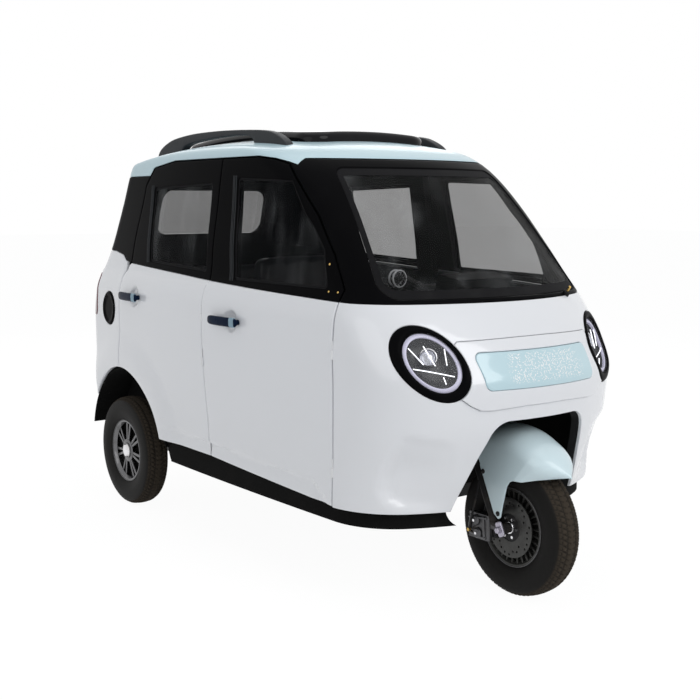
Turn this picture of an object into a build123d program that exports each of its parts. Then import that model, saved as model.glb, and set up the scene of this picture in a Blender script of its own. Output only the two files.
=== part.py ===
"""Enclosed electric three-wheeled car, built as separate pieces.

Millimetres. +Z is up, the car faces -Y and its left side is +X. The origin is
on the ground under the middle of the whole car. The body is one lofted block of
horizontal arc sections; every panel is a slice of that block between two depths
under the skin, cut to the outline of the panel.
"""
from build123d import *
from math import cos, hypot, radians, sin, sqrt, tan
import os

# ---------------------------------------------------------------- driving sizes
# Body sections, from the ground up. Each row is one horizontal section.
# columns: height, nose_y, half_width, side_radius, front_corner_radius, tail_y
SECTIONS = [
    (300, -1012, 562, 20000, 270, 1146),
    (450, -1064, 566, 14000, 310, 1186),
    (600, -1108, 579, 9300, 315, 1222),
    (720, -1118, 587, 7800, 300, 1224),
    (820, -1072, 590, 7600, 260, 1214),
    (903, -1017, 590, 6800, 270, 1204),
    (975, -962, 573, 6400, 260, 1184),
    (1010, -926, 547, 8500, 225, 1158),
    (1125, -815, 535, 8000, 200, 1073),
    (1272, -673, 512, 8000, 195, 1010),
    (1400, -524, 494, 8600, 240, 956),
    (1440, -452, 486, 8700, 250, 936),
    (1470, -385, 473, 8800, 260, 915),
    (1495, -300, 440, 8900, 270, 875),
    (1535, -100, 350, 9000, 260, 760),
]
WAIST_ROW = 7              # the row where the lower and the upper loft meet
NOSE_RADIUS = 850.0
TAIL_RADIUS = 1570.0
REAR_CORNER_RADIUS = 95.0
WIDEST_Y = 178.0           # station where the sides are widest
CROWN_Z = 1528.0           # top of the roof dome
CROWN_Y = 186.0
CROWN_CROSS_RADIUS = 2783.0
CROWN_LONG_RADIUS = 4000.0

WALL = 38.0                # fixed body panels
DOOR_WALL = 32.0           # doors
DOOR_LIP = 11.0            # outer part of a door that overhangs its rebate
REBATE = 10.0              # how far the inner part of a door stands back
SHUT_GAP = 6.0             # gap all round a door
GLASS_DEPTH = 6.0          # outer face of the glass under the skin
PILLAR_DEPTH = 32.0        # pressed steel cabin frame behind the panels

# Lower edge of the white panels and the belt line, as (y, z) along the car
SILL = [(-1400, 312), (-699, 312), (46, 345), (470, 345), (470, 440), (1400, 440)]
BELT = [(-1400, 968), (-740, 969), (46, 1001), (757, 1034), (800, 1041),
        (835, 1063), (925, 1077), (1400, 1080)]
# Lower edge of the coloured roof
ROOF_LINE = [(-1400, 1431), (-421, 1430), (-416, 1392), (-381, 1403), (-311, 1424),
             (-184, 1440), (420, 1440), (603, 1418), (632, 1388), (1400, 1387)]

# Door outlines on the centre of their shut gaps, as (y, z)
DOOR_SPLIT_Y = 46.0
FRONT_DOOR_Y = -699.0
REAR_DOOR_Y = 781.0
FRONT_DOOR = [(FRONT_DOOR_Y, 312), (FRONT_DOOR_Y, 970), (-706, 1008), (-636, 1116),
              (-530, 1240), (-423, 1336), (-335, 1411), (-265, 1430), (-184, 1440),
              (DOOR_SPLIT_Y, 1440), (DOOR_SPLIT_Y, 345)]
REAR_DOOR = [(DOOR_SPLIT_Y, 345), (DOOR_SPLIT_Y, 1440), (420, 1440), (590, 1419),
             (655, 1350), (735, 1036), (757, 1026), (REAR_DOOR_Y, 975),
             (REAR_DOOR_Y, 345)]
FRONT_DOOR_GLASS = [(-72, 1368), (-113, 1012), (-632, 1008), (-595, 1132),
                    (-533, 1200), (-481, 1244), (-381, 1356)]
REAR_DOOR_GLASS = [(100, 1352), (84, 1030), (551, 1048), (569, 1340)]
DOOR_GLASS_CORNER = 14.0
WINDSHIELD = [(-441, 982), (-354, 1398), (354, 1398), (441, 982)]      # (x, z)
WINDSHIELD_CORNER = 42.0
REAR_WINDOW = [(-285, 1140), (-272, 1335), (272, 1335), (285, 1140)]   # (x, z)
REAR_WINDOW_CORNER = 50.0
GLASS_CLEARANCE = 0.3

# Wheels: 4.00-10 tyres on 10 inch rims
WHEEL_RADIUS = 230.0
TYRE_WIDTH = 105.0
RIM_RADIUS = 127.0
FRONT_AXLE_Y = -1004.0
WHEELBASE = 1812.0
REAR_AXLE_Y = FRONT_AXLE_Y + WHEELBASE
REAR_TRACK_HALF = 497.0
REAR_SHAFT_RADIUS = 14.0
FRONT_SHAFT_RADIUS = 10.0
RUNNING_CLEARANCE = 0.05
SEAT_CLEARANCE = 0.3       # a turning piece and the shoulder that locates it
BEAD_GAP = 0.3             # bead of the tyre on its rim
HUB_HALF = 38.0
HUB_RADIUS = 34.0
REAR_SPOKES = 7
FRONT_SPOKES = 10
SPOKE_HALF_WIDTH = 11.0
SPOKE_HALF_THICK = 9.0
REAR_FACE_X = 18.0         # spoked face of a rear rim, outwards from its middle
DISC_X = 45.0
DISC_RADIUS = 100.0
DISC_HALF_THICK = 2.0
DISC_CARRIER_RADIUS = 46.0
CALIPER_OUTER_X = 84.0
CALIPER_INNER_X = 59.0

# Rear arch, with the sheet liner inside it, and front arch
REAR_ARCH_RADIUS = 352.0
REAR_ARCH_Y = 766.0
REAR_ARCH_Z = 245.0
FRONT_ARCH = [(-285, 250), (-268, 348), (-228, 500), (-190, 608),
              (190, 608), (228, 500), (268, 348), (285, 250)]          # (x, z)
FRONT_ARCH_CORNER = 70.0
LINER_SHEET = 5.0
LINER_OUTER_X = 546.0
DECK_HALF = 398.0          # raised floor between the rear wheels
ARCH_INNER_X = DECK_HALF + LINER_SHEET + 2      # wheel side of a rear arch's inner wall
WELL_HALF = 292.0
WELL_TOP = 650.0
WELL_SHEET = 5.0
WELL_HOLE = (-772.0, 58.0)         # y and radius of the opening for the steering head

# Lamps and panels set into the skin
HEADLAMP_AT = (380, -1002, 796)
HEADLAMP_AIM = (0.47, -0.80, 0.37)
HEADLAMP_HALF = (97.0, 116.0)      # half width and half height of the bezel
HEADLAMP_RING = 26.0               # bezel width around the lens
BEZEL_PROUD = 5.0
LENS_SUNK = 3.0
GRILLE_PANEL = [(-236, 710), (-247, 824), (247, 824), (236, 710)]      # (x, z)
GRILLE_CORNER = 22.0
GRILLE_PROUD = 2.0
TAIL_LAMP = [(462, 792), (470, 980), (560, 980), (560, 792)]           # (x, z)
TAIL_LAMP_CORNER = 30.0
PORT_AT = (901.0, 836.0)           # (y, z) on the right flank
PORT_RADIUS = 71.0

# Cabin frame, floor, deck over the rear axle and skirts under the doors
PILLAR_HALF = 46.0
HEADER_DROP = 46.0
HEADER_Y = (-330.0, 640.0)
A_POST = [(-790, 330), (-690, 330), (-690, 960), (-790, 960)]          # (y, z)
FLOOR_TOP = 312.0
FLOOR_THICK = 14.0
FLOOR_FRONT_Y = -684.0
DECK_Y = 520.0
DECK_TOP = 440.0
DECK_THICK = 12.0
SKIRT_INSET = 24.0
SKIRT_THICK = 10.0
SKIRT_BOTTOM = 258.0
SKIRT_END_Y = 400.0

# Ladder frame, rear axle and springs
RAIL_X = 330.0
RAIL_HALF = 22.0
RAIL_LOW = 238.0
RAIL_DEPTH = 50.0          # of the rails behind their kick
RAIL_START_Y = -640.0
RAIL_END_Y = 1150.0
RAIL_KICK = 90.0           # length of the kick up to the deck
CROSS_SIZE = 44.0
LOW_CROSS_Y = [RAIL_START_Y, -100, 400]
REAR_CROSS_Y = 1100.0
BRACE_RADIUS = 17.0
BRACE_HOLE_AIR = 1.0
BRACE_KNEE_X = 150.0
AXLE_TUBE_RADIUS = 28.0
DRUM_RADIUS = 82.0
GEAR_CASE_X = (-46.0, 62.0)
GEAR_CASE_RADIUS = 92.0
MOTOR_END_X = 250.0
MOTOR_RADIUS = 84.0
SPRING_X = 330.0
SPRING_HALF = 25.0
SPRING_REACH = 180.0
SPRING_RISE = 30.0
SPRING_PACK = 26.0
HANGER_HALF = 12.0
DAMPER_X = 280.0
DAMPER_RADIUS = 19.0
DAMPER_LEAN = 80.0         # of its top behind its foot

# Steering
RAKE = 25.0                # steering axis behind the vertical, degrees
STEER_OFFSET = 40.0        # axis behind the wheel centre at axle height
STEM_RADIUS = 15.0
FORK_LEG_RADIUS = 13.0
FORK_CROWN_UP = 362.0      # crown above the axle height, along the axis
HEAD_GAP = 0.3             # bearing seat between the crown and the head tube
HEAD_LENGTH = 150.0
HEAD_RADIUS = 30.0
BAR_UP = 850.0             # handlebar above the axle height, along the axis
BAR_HALF = 290.0
BAR_RADIUS = 11.0
GRIP_RADIUS = 17.0
CLAMP_WALL = 8.0
SIDE_AIR = 6.0             # air between the tyre, the fork legs and the fender
LEG_X = TYRE_WIDTH / 2 + SIDE_AIR + FORK_LEG_RADIUS
LEG_TO_PLATE = FORK_LEG_RADIUS + 1.0
LEG_FOOT_UP = 14.0
CROWN_RADIUS = 16.0
AXLE_BOSS_RADIUS = 17.0
FENDER_TAB_RADIUS = 8.0
AXLE_POINT = (FRONT_AXLE_Y, WHEEL_RADIUS)

# Fender over the front wheel, centred up the fork from the wheel
FENDER_LIFT = 60.0
FENDER_RADIUS = 273.0
FENDER_EDGE_DROP = 36.0
FENDER_SHEET = 4.0
FENDER_FRONT_ANGLE = 152.0
FENDER_REAR_ANGLE = 35.0
FENDER_AIR = 1.0           # round the foot of the steering head
FENDER_CORE_RADIUS = 80.0
FENDER_REAR_AHEAD = 28.0   # rear edge of the fender, ahead of the steering axis
FENDER_HEM_Z = 402.0       # level lower edge of the fender's sides
FENDER_HALF_WIDTH = LEG_X + LEG_TO_PLATE + FENDER_SHEET
# Pointed end and front edge of the fender's side plates, as (y, z)
FENDER_POINT = [(-994, 262), (-1003, 270), (-1012, 313), (-1028, 376), (-1040, 394),
                (-1056, FENDER_HEM_Z), (-1056, 440)]
# Bolts that hold the fender to each leg, as (up, ahead) of the steering axis
FENDER_BOLTS = [(179.0, 37.0), (44.0, 42.0)]

# Door hinges: pin on the skin line in the middle of the front gap of each door
HINGE_PIN_RADIUS = 2.5
HINGE_BARREL_RADIUS = 5.5
HINGE_LENGTH = 60.0
HINGE_POCKET = 2.5         # air round a barrel
HINGE_LEAF = 2.4
HINGE_REACH = 110.0        # length of a leaf towards the cabin frame
# columns: name, side-less y, axis x, hinge heights
HINGES = [
    ("front", FRONT_DOOR_Y, 538.0, (440.0, 820.0)),
    ("rear", DOOR_SPLIT_Y, 587.0, (720.0, 880.0)),
]

# Pull handles of the doors
HANDLE_LENGTH = 190.0
HANDLE_HEIGHT = 26.0
HANDLE_FOOT = 22.0
HANDLE_GRIP_GAP = 17.0
HANDLE_THICK = 13.0
# columns: name, outline, glass outline, handle middle y, handle z
DOORS = [
    ("front", FRONT_DOOR, FRONT_DOOR_GLASS, -126.0, 868.0),
    ("rear", REAR_DOOR, REAR_DOOR_GLASS, 640.0, 903.0),
]
# Screws of a mirror plate, square to the leaning frame of a front door
MIRROR_SCREWS = [(-627.0, 1086.0), (-642.0, 1000.0), (-684.0, 1000.0)]     # (y, z)
MIRROR_SCREW_RADIUS = 3.0
MIRROR_SCREW_X = 505.0             # station of the heights above
MIRROR_SCREW_RISE = 0.105          # upwards, for each unit outwards

# The inside
DASH = [(-905, 880), (-905, 968), (-760, 985), (-700, 970), (-690, 900), (-720, 880)]
DASH_HALF = 600.0
POD = [(-790, 975), (-830, 1031), (-730, 1047), (-705, 969)]           # (y, z)
POD_HALF = 125.0
FAN_AT = (-318.0, -752.0, 1040.0)
FAN_RADIUS = 30.0
FAN_HALF_DEPTH = 14.0
FAN_STALK_RADIUS = 6.0
SEAT_TOP = 640.0
SEAT_HALF = 240.0
SEAT_Y = (-290.0, 180.0)
SEAT_BACK_THICK = 90.0
SEAT_BACK_HEIGHT = 500.0
SEAT_LEAN = 0.12           # backwards, for each unit of height
BATTERY_HALF = 230.0
BATTERY_Y = (-250.0, 170.0)
BATTERY_HEIGHT = 210.0
BENCH_TOP = 690.0
BENCH_HALF = 395.0
BENCH_DEPTH = 350.0
BENCH_BACK_THICK = 80.0
BENCH_BACK_HEIGHT = 440.0
BACK_TUCK = 15.0           # a seat back's foot over the rear of its cushion

# On the roof
RAIL_BAR_X = 358.0
RAIL_BAR_HALF = 18.0
RAIL_OUTLINE = [(775, 1440), (762, 1487), (725, 1511), (646, 1536), (543, 1547), (438, 1553),
                (244, 1554), (63, 1548), (-73, 1540), (-138, 1522), (-205, 1488), (-220, 1440)]
RAIL_OPENING = [(562, 1440), (562, 1492), (530, 1508), (480, 1516), (320, 1528), (170, 1531),
                (63, 1528), (30, 1518), (9, 1498), (5, 1440)]
SUNROOF = [(-285, -215), (285, -215), (285, 720), (-285, 720)]          # (x, y)
SUNROOF_PROUD = 32.0
SUNROOF_CORNER = 90.0

# Wiper spindle and number plate holder
WIPER_FOOT = (292.0, -905.0, 960.0)
WIPER_SHOULDER = (292.0, -921.0, 982.0)
WIPER_TIP = (292.0, -933.0, 998.5)
WIPER_BOSS_RADIUS = 10.0
WIPER_PIN_RADIUS = 4.0
PLATE_HALF = 170.0
PLATE_Z = (560.0, 680.0)
PLATE_THICK = 8.0
PLATE_BOLT_X = 110.0
PLATE_BOLT_Z = 640.0
PLATE_BOLT_RADIUS = 3.5

FAR = 2000.0                       # beyond everything
SIDE_REACH = (300.0, 700.0)        # x range that holds the whole left wall


# ------------------------------------------------------------- small geometry
class Piece:
    """One or more solids, with the three boolean operators and plain moves."""

    def __init__(self, *shapes):
        self.parts = [solid for shape in shapes for solid in shape.solids()]

    def solids(self):
        return self.parts

    def __sub__(self, tool):
        return Piece(*[solid.cut(*tool.solids()) for solid in self.parts])

    def __and__(self, tool):
        shared = [solid.intersect(other) for solid in self.parts for other in tool.solids()]
        return Piece(*[shape for shape in shared if shape])

    def __add__(self, other):
        every = self.parts + other.solids()
        return Piece(every[0].fuse(*every[1:]))

    def translate(self, move):
        return Piece(*[solid.translate(move) for solid in self.parts])

    def rotate(self, axis, angle):
        return Piece(*[solid.rotate(axis, angle) for solid in self.parts])

    def mirrored(self):
        """The same piece on the right side of the car."""
        return Piece(*[solid.mirror(Plane.YZ) for solid in self.parts])


def extruded(face, push):
    return Piece(Solid.extrude(face, Vector(push)))


def revolved(face, sweep, axis):
    return Piece(Solid.revolve(face, sweep, axis))


def ball(centre, radius):
    return Piece(Solid.make_sphere(radius).translate(Vector(centre)))


def tangent_centre(centre_a, radius_a, centre_b, radius_b, at_front):
    """Centre that lies at two given distances from two centres, on the left side."""
    dx, dy = centre_b[0] - centre_a[0], centre_b[1] - centre_a[1]
    span = hypot(dx, dy)
    along = (radius_a ** 2 - radius_b ** 2 + span ** 2) / (2 * span)
    off = sqrt(max(radius_a ** 2 - along ** 2, 0.0))
    mid = (centre_a[0] + along * dx / span, centre_a[1] + along * dy / span)
    both = [(mid[0] - s * off * dy / span, mid[1] + s * off * dx / span) for s in (1, -1)]
    left = [point for point in both if point[0] > 0]
    return min(left, key=lambda p: p[1]) if at_front else max(left, key=lambda p: p[1])


def towards(centre, point, radius):
    """Point at a radius from a centre, in the direction of another point."""
    span = hypot(point[0] - centre[0], point[1] - centre[1])
    return (centre[0] + (point[0] - centre[0]) / span * radius,
            centre[1] + (point[1] - centre[1]) / span * radius)


def halfway(a, b):
    return ((a[0] + b[0]) / 2, (a[1] + b[1]) / 2)


def body_section(row, inset):
    """Left half of a section: five tangent arcs closed by the middle line."""
    height, nose_y, half_width, side_radius, corner_radius, tail_y = row
    nose, tail, rear = NOSE_RADIUS - inset, TAIL_RADIUS - inset, REAR_CORNER_RADIUS - inset
    wide, side, front = half_width - inset, side_radius - inset, corner_radius - inset
    nose_c = (0, nose_y + inset + nose)
    tail_c = (0, tail_y - inset - tail)
    side_c = (wide - side, WIDEST_Y)
    front_c = tangent_centre(nose_c, nose - front, side_c, side - front, True)
    rear_c = tangent_centre(tail_c, tail - rear, side_c, side - rear, False)
    a, b = towards(nose_c, front_c, nose), towards(side_c, front_c, side)
    c, d = towards(side_c, rear_c, side), towards(tail_c, rear_c, tail)
    corner = towards(front_c, halfway(a, b), front)
    flank = towards(side_c, halfway(b, c), side)
    hip = towards(rear_c, halfway(c, d), rear)
    brow = towards(nose_c, halfway((0, nose_y + inset), a), nose)
    stern = towards(tail_c, halfway((0, tail_y - inset), d), tail)
    arcs = [((0, nose_y + inset), brow, a), (a, corner, b), (b, flank, c), (c, hip, d),
            (d, stern, (0, tail_y - inset))]
    edges = [Edge.make_three_point_arc(*[Vector(x, y, height) for x, y in arc]) for arc in arcs]
    edges.append(Edge.make_line(edges[-1].position_at(1), edges[0].position_at(0)))
    return Wire(edges)


def roof_dome(drop):
    """Solid under the doubly curved roof surface, lowered by a drop."""
    half, low = 700.0, 100.0
    crown = CROWN_Z - drop
    edge = crown - half ** 2 / (2 * CROWN_CROSS_RADIUS)
    outline = [Edge.make_three_point_arc(Vector(-half, CROWN_Y, edge), Vector(0, CROWN_Y, crown),
                                         Vector(half, CROWN_Y, edge)),
               Edge.make_line(Vector(half, CROWN_Y, edge), Vector(half, CROWN_Y, low)),
               Edge.make_line(Vector(half, CROWN_Y, low), Vector(-half, CROWN_Y, low)),
               Edge.make_line(Vector(-half, CROWN_Y, low), Vector(-half, CROWN_Y, edge))]
    spin = Axis((0, CROWN_Y, crown - CROWN_LONG_RADIUS), (1, 0, 0))
    sweep = 80.0
    return revolved(Face(Wire(outline)).rotate(spin, -sweep / 2), sweep, spin)


def body_block(inset, capped=True):
    """The left half of the body, with its skin moved inwards by an inset."""
    rows = [body_section(row, inset) for row in SECTIONS]
    lower = Piece(Solid.make_loft(rows[:WAIST_ROW + 1], True))
    upper = Piece(Solid.make_loft(rows[WAIST_ROW:], True))
    block = lower + upper
    return block & roof_dome(inset) if capped else block


def prism(points, place, push, corner=0.0):
    """Prism over a polygon whose points are put in space by place, with round corners."""
    face = Face(Wire.make_polygon([place(u, v) for u, v in points], close=True))
    if corner:
        face = face.fillet_2d(corner, face.vertices())
    return extruded(face, push)


def prism_x(points, x_from, x_to, corner=0.0):
    """Prism along X over (y, z) points."""
    return prism(points, lambda y, z: Vector(x_from, y, z), Vector(x_to - x_from, 0, 0), corner)


def prism_y(points, y_from, y_to, corner=0.0):
    """Prism along Y over (x, z) points."""
    return prism(points, lambda x, z: Vector(x, y_from, z), Vector(0, y_to - y_from, 0), corner)


def prism_z(points, z_from, z_to, corner=0.0):
    """Prism along Z over (x, y) points."""
    return prism(points, lambda x, y: Vector(x, y, z_from), Vector(0, 0, z_to - z_from), corner)


def slab(low, high, corner=0.0):
    """Box between two corners, its upright edges rounded."""
    (x0, y0, z0), (x1, y1, z1) = low, high
    return prism_z([(x0, y0), (x1, y0), (x1, y1), (x0, y1)], z0, z1, corner)


def rod(start, end, radius):
    """Round bar between two points."""
    line = Vector(*end) - Vector(*start)
    return Piece(Solid.make_cylinder(radius, line.length, Plane(origin=start, z_dir=line)))


def pipe(start, end, outer, inner):
    """Round tube between two points."""
    return rod(start, end, outer) - rod(start, end, inner)


def grown(points, amount):
    """A (y, z) outline moved outwards by an amount, its corners kept sharp."""
    face = Face(Wire.make_polygon([Vector(u, v, 0) for u, v in points], close=True))
    moved = offset(face, amount, kind=Kind.INTERSECTION).faces()[0]
    return [(p.X, p.Y) for p in (edge.position_at(0) for edge in moved.outer_wire().order_edges())]


def both_sides(shape):
    return [shape, shape.mirrored()]


def whole(half):
    """One solid from a left half that ends on the middle plane."""
    return half + half.mirrored()


def joined(*shapes):
    """One solid from touching or crossing shapes."""
    result = shapes[0]
    for shape in shapes[1:]:
        result = result + shape
    return result


def save(node, *shapes):
    """Write the solids of one node."""
    solids = Piece(*shapes).solids()
    whole = solids[0] if len(solids) == 1 else Compound(children=solids)
    export_step(whole, f"parts/{node}.step")


def between(cutter, outer, inner):
    """The part of a cutter that lies inside one block and outside another."""
    return (cutter & outer) - inner


# ------------------------------------------------------------------ the body
def above(line, top=FAR):
    """Outline of everything over a (y, z) line."""
    return line + [(line[-1][0], top), (line[0][0], top)]


def below(line, bottom=-FAR):
    """Outline of everything under a (y, z) line."""
    return line + [(line[-1][0], bottom), (line[0][0], bottom)]


class Body:
    """The lofted blocks that all panels are cut from, made once."""

    def __init__(self):
        self.skin = body_block(0.0)
        self.glass_face = body_block(GLASS_DEPTH)
        self.lip = body_block(DOOR_LIP)
        self.door_back = body_block(DOOR_WALL)
        self.wall_back = body_block(WALL)
        self.frame_back = body_block(WALL + PILLAR_DEPTH)
        self.shell = self.skin - self.wall_back
        self.white = prism_x(below(BELT), -FAR, FAR)
        self.roof = prism_x(above(ROOF_LINE), -FAR, FAR)


def door_holes():
    """Left door openings, each door's outline grown by half its gap."""
    return [prism_x(grown(outline, SHUT_GAP / 2), *SIDE_REACH)
            for outline in (FRONT_DOOR, REAR_DOOR)]


def rear_arch(inner_x=ARCH_INNER_X):
    """Cylinder that clears the left rear wheel, from the liner outwards."""
    return rod((inner_x, REAR_ARCH_Y, REAR_ARCH_Z), (FAR, REAR_ARCH_Y, REAR_ARCH_Z),
               REAR_ARCH_RADIUS)


def lamp_prism(margin):
    """Oval prism through the left headlamp, square to the skin at its middle."""
    plane = Plane(origin=HEADLAMP_AT, x_dir=(HEADLAMP_AIM[1], -HEADLAMP_AIM[0], 0),
                  z_dir=HEADLAMP_AIM)
    oval = Face(Wire.make_ellipse(HEADLAMP_HALF[1] + margin, HEADLAMP_HALF[0] + margin,
                                  Plane(origin=plane.origin, x_dir=plane.y_dir,
                                        z_dir=plane.z_dir)))
    reach = 150.0
    return extruded(oval.translate(plane.z_dir * -reach), plane.z_dir * (2 * reach))


def fixed_panels(body, hinges):
    """White nose and tail, black window surrounds, the roof, glass and lamps."""
    fixed = body.shell
    for hole in door_holes() + [rear_arch()]:
        fixed = fixed - hole
    for hinge in hinges.values():
        for pocket in hinge.full_pockets:
            fixed = fixed - pocket
    fixed = fixed - prism_x(below(SILL), -FAR, FAR)
    ahead = slab((-FAR, -FAR, -FAR), (FAR, 0, FAR))
    white = fixed & body.white
    black = fixed - body.white - body.roof
    front_arch = prism_y(FRONT_ARCH, -1400, -500, FRONT_ARCH_CORNER)
    grille = prism_y(GRILLE_PANEL, -1400, -600, GRILLE_CORNER)
    tail_lamp = prism_y(TAIL_LAMP, 1000, 1400, TAIL_LAMP_CORNER)
    port = rod((400, *PORT_AT), (700, *PORT_AT), PORT_RADIUS)
    screen = prism_y(WINDSHIELD, -1100, -300, WINDSHIELD_CORNER)
    back_light = prism_y(REAR_WINDOW, 800, 1300, REAR_WINDOW_CORNER)

    nose = (white & ahead) - front_arch - grille - lamp_prism(0.0)
    tail = (white - ahead) - tail_lamp
    save("front_shell", whole(nose))
    tail = tail - plate_bolt(PLATE_BOLT_X)
    save("rear_shell", tail + (tail - port).mirrored())
    save("windshield_surround", whole((black & ahead) - screen))
    save("rear_surround", whole((black - ahead) - back_light))
    save("roof_panel", whole(fixed & body.roof))
    pane = prism_y(grown(WINDSHIELD, -GLASS_CLEARANCE), -1100, -300, WINDSHIELD_CORNER)
    save("windshield_glass", whole(between(pane, body.glass_face, body.lip)))
    pane = prism_y(grown(REAR_WINDOW, -GLASS_CLEARANCE), 800, 1300, REAR_WINDOW_CORNER)
    save("rear_window_glass", whole(between(pane, body.glass_face, body.lip)))

    oval = lamp_prism(-HEADLAMP_RING)
    bezel = between(lamp_prism(0.0) - oval, body_block(-BEZEL_PROUD), body.wall_back)
    lens = between(oval, body_block(LENS_SUNK), body.wall_back)
    save("headlamp_bezels", *both_sides(bezel))
    save("headlamp_lenses", *both_sides(lens))
    proud = body_block(-GRILLE_PROUD)
    save("grille_panel", whole(between(grille, proud, body.wall_back)))
    save("tail_lamps", *both_sides(between(tail_lamp, proud, body.wall_back)))
    save("charge_port_cover", between(port, proud, body.wall_back).mirrored())


# ---------------------------------------------------------------------- doors
def box_yz(y, z, length, height):
    """Corner points of a rectangle centred on y, z."""
    return [(y - length / 2, z - height / 2), (y + length / 2, z - height / 2),
            (y + length / 2, z + height / 2), (y - length / 2, z + height / 2)]


class Hinge:
    """Barrels, pins and air pockets of the hinges of one left-hand door."""

    def __init__(self, y, x, heights, frame_face):
        self.body_halves, self.knuckles = [], []
        self.low_pockets, self.full_pockets, self.notches = [], [], []
        bore_radius = HINGE_PIN_RADIUS + RUNNING_CLEARANCE
        pocket_radius = HINGE_BARREL_RADIUS + HINGE_POCKET
        for middle in heights:
            low, high = middle - HINGE_LENGTH / 2, middle + HINGE_LENGTH / 2
            seat = middle + SEAT_CLEARANCE
            leaf = slab((x - HINGE_REACH, y - HINGE_LEAF / 2, low),
                        (x, y + HINGE_LEAF / 2, middle)) - frame_face
            barrel = rod((x, y, low), (x, y, middle), HINGE_BARREL_RADIUS)
            pin = rod((x, y, middle), (x, y, high), HINGE_PIN_RADIUS)
            self.body_halves.append(joined(barrel, leaf, pin))
            self.knuckles.append(pipe((x, y, seat), (x, y, high), HINGE_BARREL_RADIUS,
                                      bore_radius))
            self.low_pockets.append(rod((x, y, low - HINGE_POCKET), (x, y, seat),
                                        pocket_radius))
            self.full_pockets.append(rod((x, y, low - HINGE_POCKET),
                                         (x, y, high + HINGE_POCKET), pocket_radius))
            self.notches.append(slab((x - HINGE_REACH, y - pocket_radius, low - HINGE_POCKET),
                                     (x + pocket_radius, y, high + HINGE_POCKET)))


def all_hinges(body):
    return {name: Hinge(y, x, heights, body.wall_back) for name, y, x, heights in HINGES}


def doors(body, hinges):
    """Panel, window frame, glass and pull handle of all four doors."""
    outer_layer = body.skin - body.lip
    inner_layer = body.lip - body.door_back
    grip_back = body_block(-HANDLE_GRIP_GAP)
    grip_face = body_block(-HANDLE_GRIP_GAP - HANDLE_THICK)
    arch = rear_arch()
    for name, outline, glass_outline, handle_y, handle_z in DOORS:
        edge = grown(outline, -SHUT_GAP / 2)
        rebate = grown(outline, -SHUT_GAP / 2 - REBATE)
        door = (outer_layer & prism_x(edge, *SIDE_REACH)) + (inner_layer & prism_x(rebate, *SIDE_REACH))
        door = door - arch
        for pocket in hinges[name].low_pockets:
            door = door - pocket
        if name == "front":
            for notch in hinges["rear"].notches:
                door = door - notch
        for knuckle in hinges[name].knuckles:
            door = (door - rod_inside(knuckle)) + knuckle
        window = prism_x(glass_outline, *SIDE_REACH, DOOR_GLASS_CORNER)
        frame = door - body.white - window
        if name == "front":
            for hole in mirror_screw_holes():
                frame = frame - hole
        pane_outline = grown(glass_outline, -GLASS_CLEARANCE)
        pane = between(prism_x(pane_outline, *SIDE_REACH, DOOR_GLASS_CORNER),
                       body.glass_face, body.lip)
        grip = prism_x(box_yz(handle_y, handle_z, HANDLE_LENGTH, HANDLE_HEIGHT),
                       *SIDE_REACH, HANDLE_HEIGHT * 0.4)
        bar = between(grip, grip_face, grip_back)
        reach = (HANDLE_LENGTH - HANDLE_FOOT) / 2 - HANDLE_FOOT * 0.5
        feet = [between(prism_x(box_yz(handle_y + s * reach, handle_z, HANDLE_FOOT,
                                       HANDLE_FOOT), *SIDE_REACH), grip_back, body.skin)
                for s in (-1, 1)]
        handle = joined(bar, *feet)
        for side, pieces in (("left", lambda p: p), ("right", Piece.mirrored)):
            save(f"{name}_door_panel_{side}", pieces(door & body.white))
            save(f"{name}_door_frame_{side}", pieces(frame))
            save(f"{name}_door_glass_{side}", pieces(pane))
            save(f"{name}_door_handle_{side}", pieces(handle))


def rod_inside(knuckle):
    """Solid cylinder that fills a knuckle's bore."""
    box = knuckle.solids()[0].bounding_box()
    middle = box.center()
    return rod((middle.X, middle.Y, box.min.Z), (middle.X, middle.Y, box.max.Z),
               HINGE_PIN_RADIUS + RUNNING_CLEARANCE)


def mirror_screw_holes():
    """Three holes of the mirror plate in a front door frame."""
    ends = [(x, (x - MIRROR_SCREW_X) * MIRROR_SCREW_RISE) for x in SIDE_REACH]
    return [rod(*[(x, y, z + rise) for x, rise in ends], MIRROR_SCREW_RADIUS)
            for y, z in MIRROR_SCREWS]


# ------------------------------------------------------------- cabin structure
def cabin_frame(body, hinges):
    """Pressed steel posts and roof rails behind the doors, one loop on each side."""
    ring = body.wall_back - body.frame_back
    split = DOOR_SPLIT_Y
    door_top = FRONT_DOOR[-2][1]
    post_top, header_top = door_top + 10, door_top + 22
    b_post = [(split - PILLAR_HALF, FLOOR_TOP), (split + PILLAR_HALF, FLOOR_TOP),
              (split + PILLAR_HALF, post_top), (split - PILLAR_HALF, post_top)]
    header = [(HEADER_Y[0], door_top - HEADER_DROP), (HEADER_Y[1], door_top - HEADER_DROP),
              (HEADER_Y[1], header_top), (HEADER_Y[0], header_top)]
    side = slab((200, -FAR, -FAR), (FAR, FAR, FAR))
    post = joined(ring & prism_x(b_post, *SIDE_REACH), ring & side & prism_x(header, 200, 700))
    a_post = ring & prism_x(A_POST, *SIDE_REACH)
    save("cabin_frame", *both_sides(post), *both_sides(a_post))
    halves = [half for hinge in hinges.values() for half in hinge.body_halves]
    save("door_hinges", *[piece for half in halves for piece in both_sides(half)])


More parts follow.
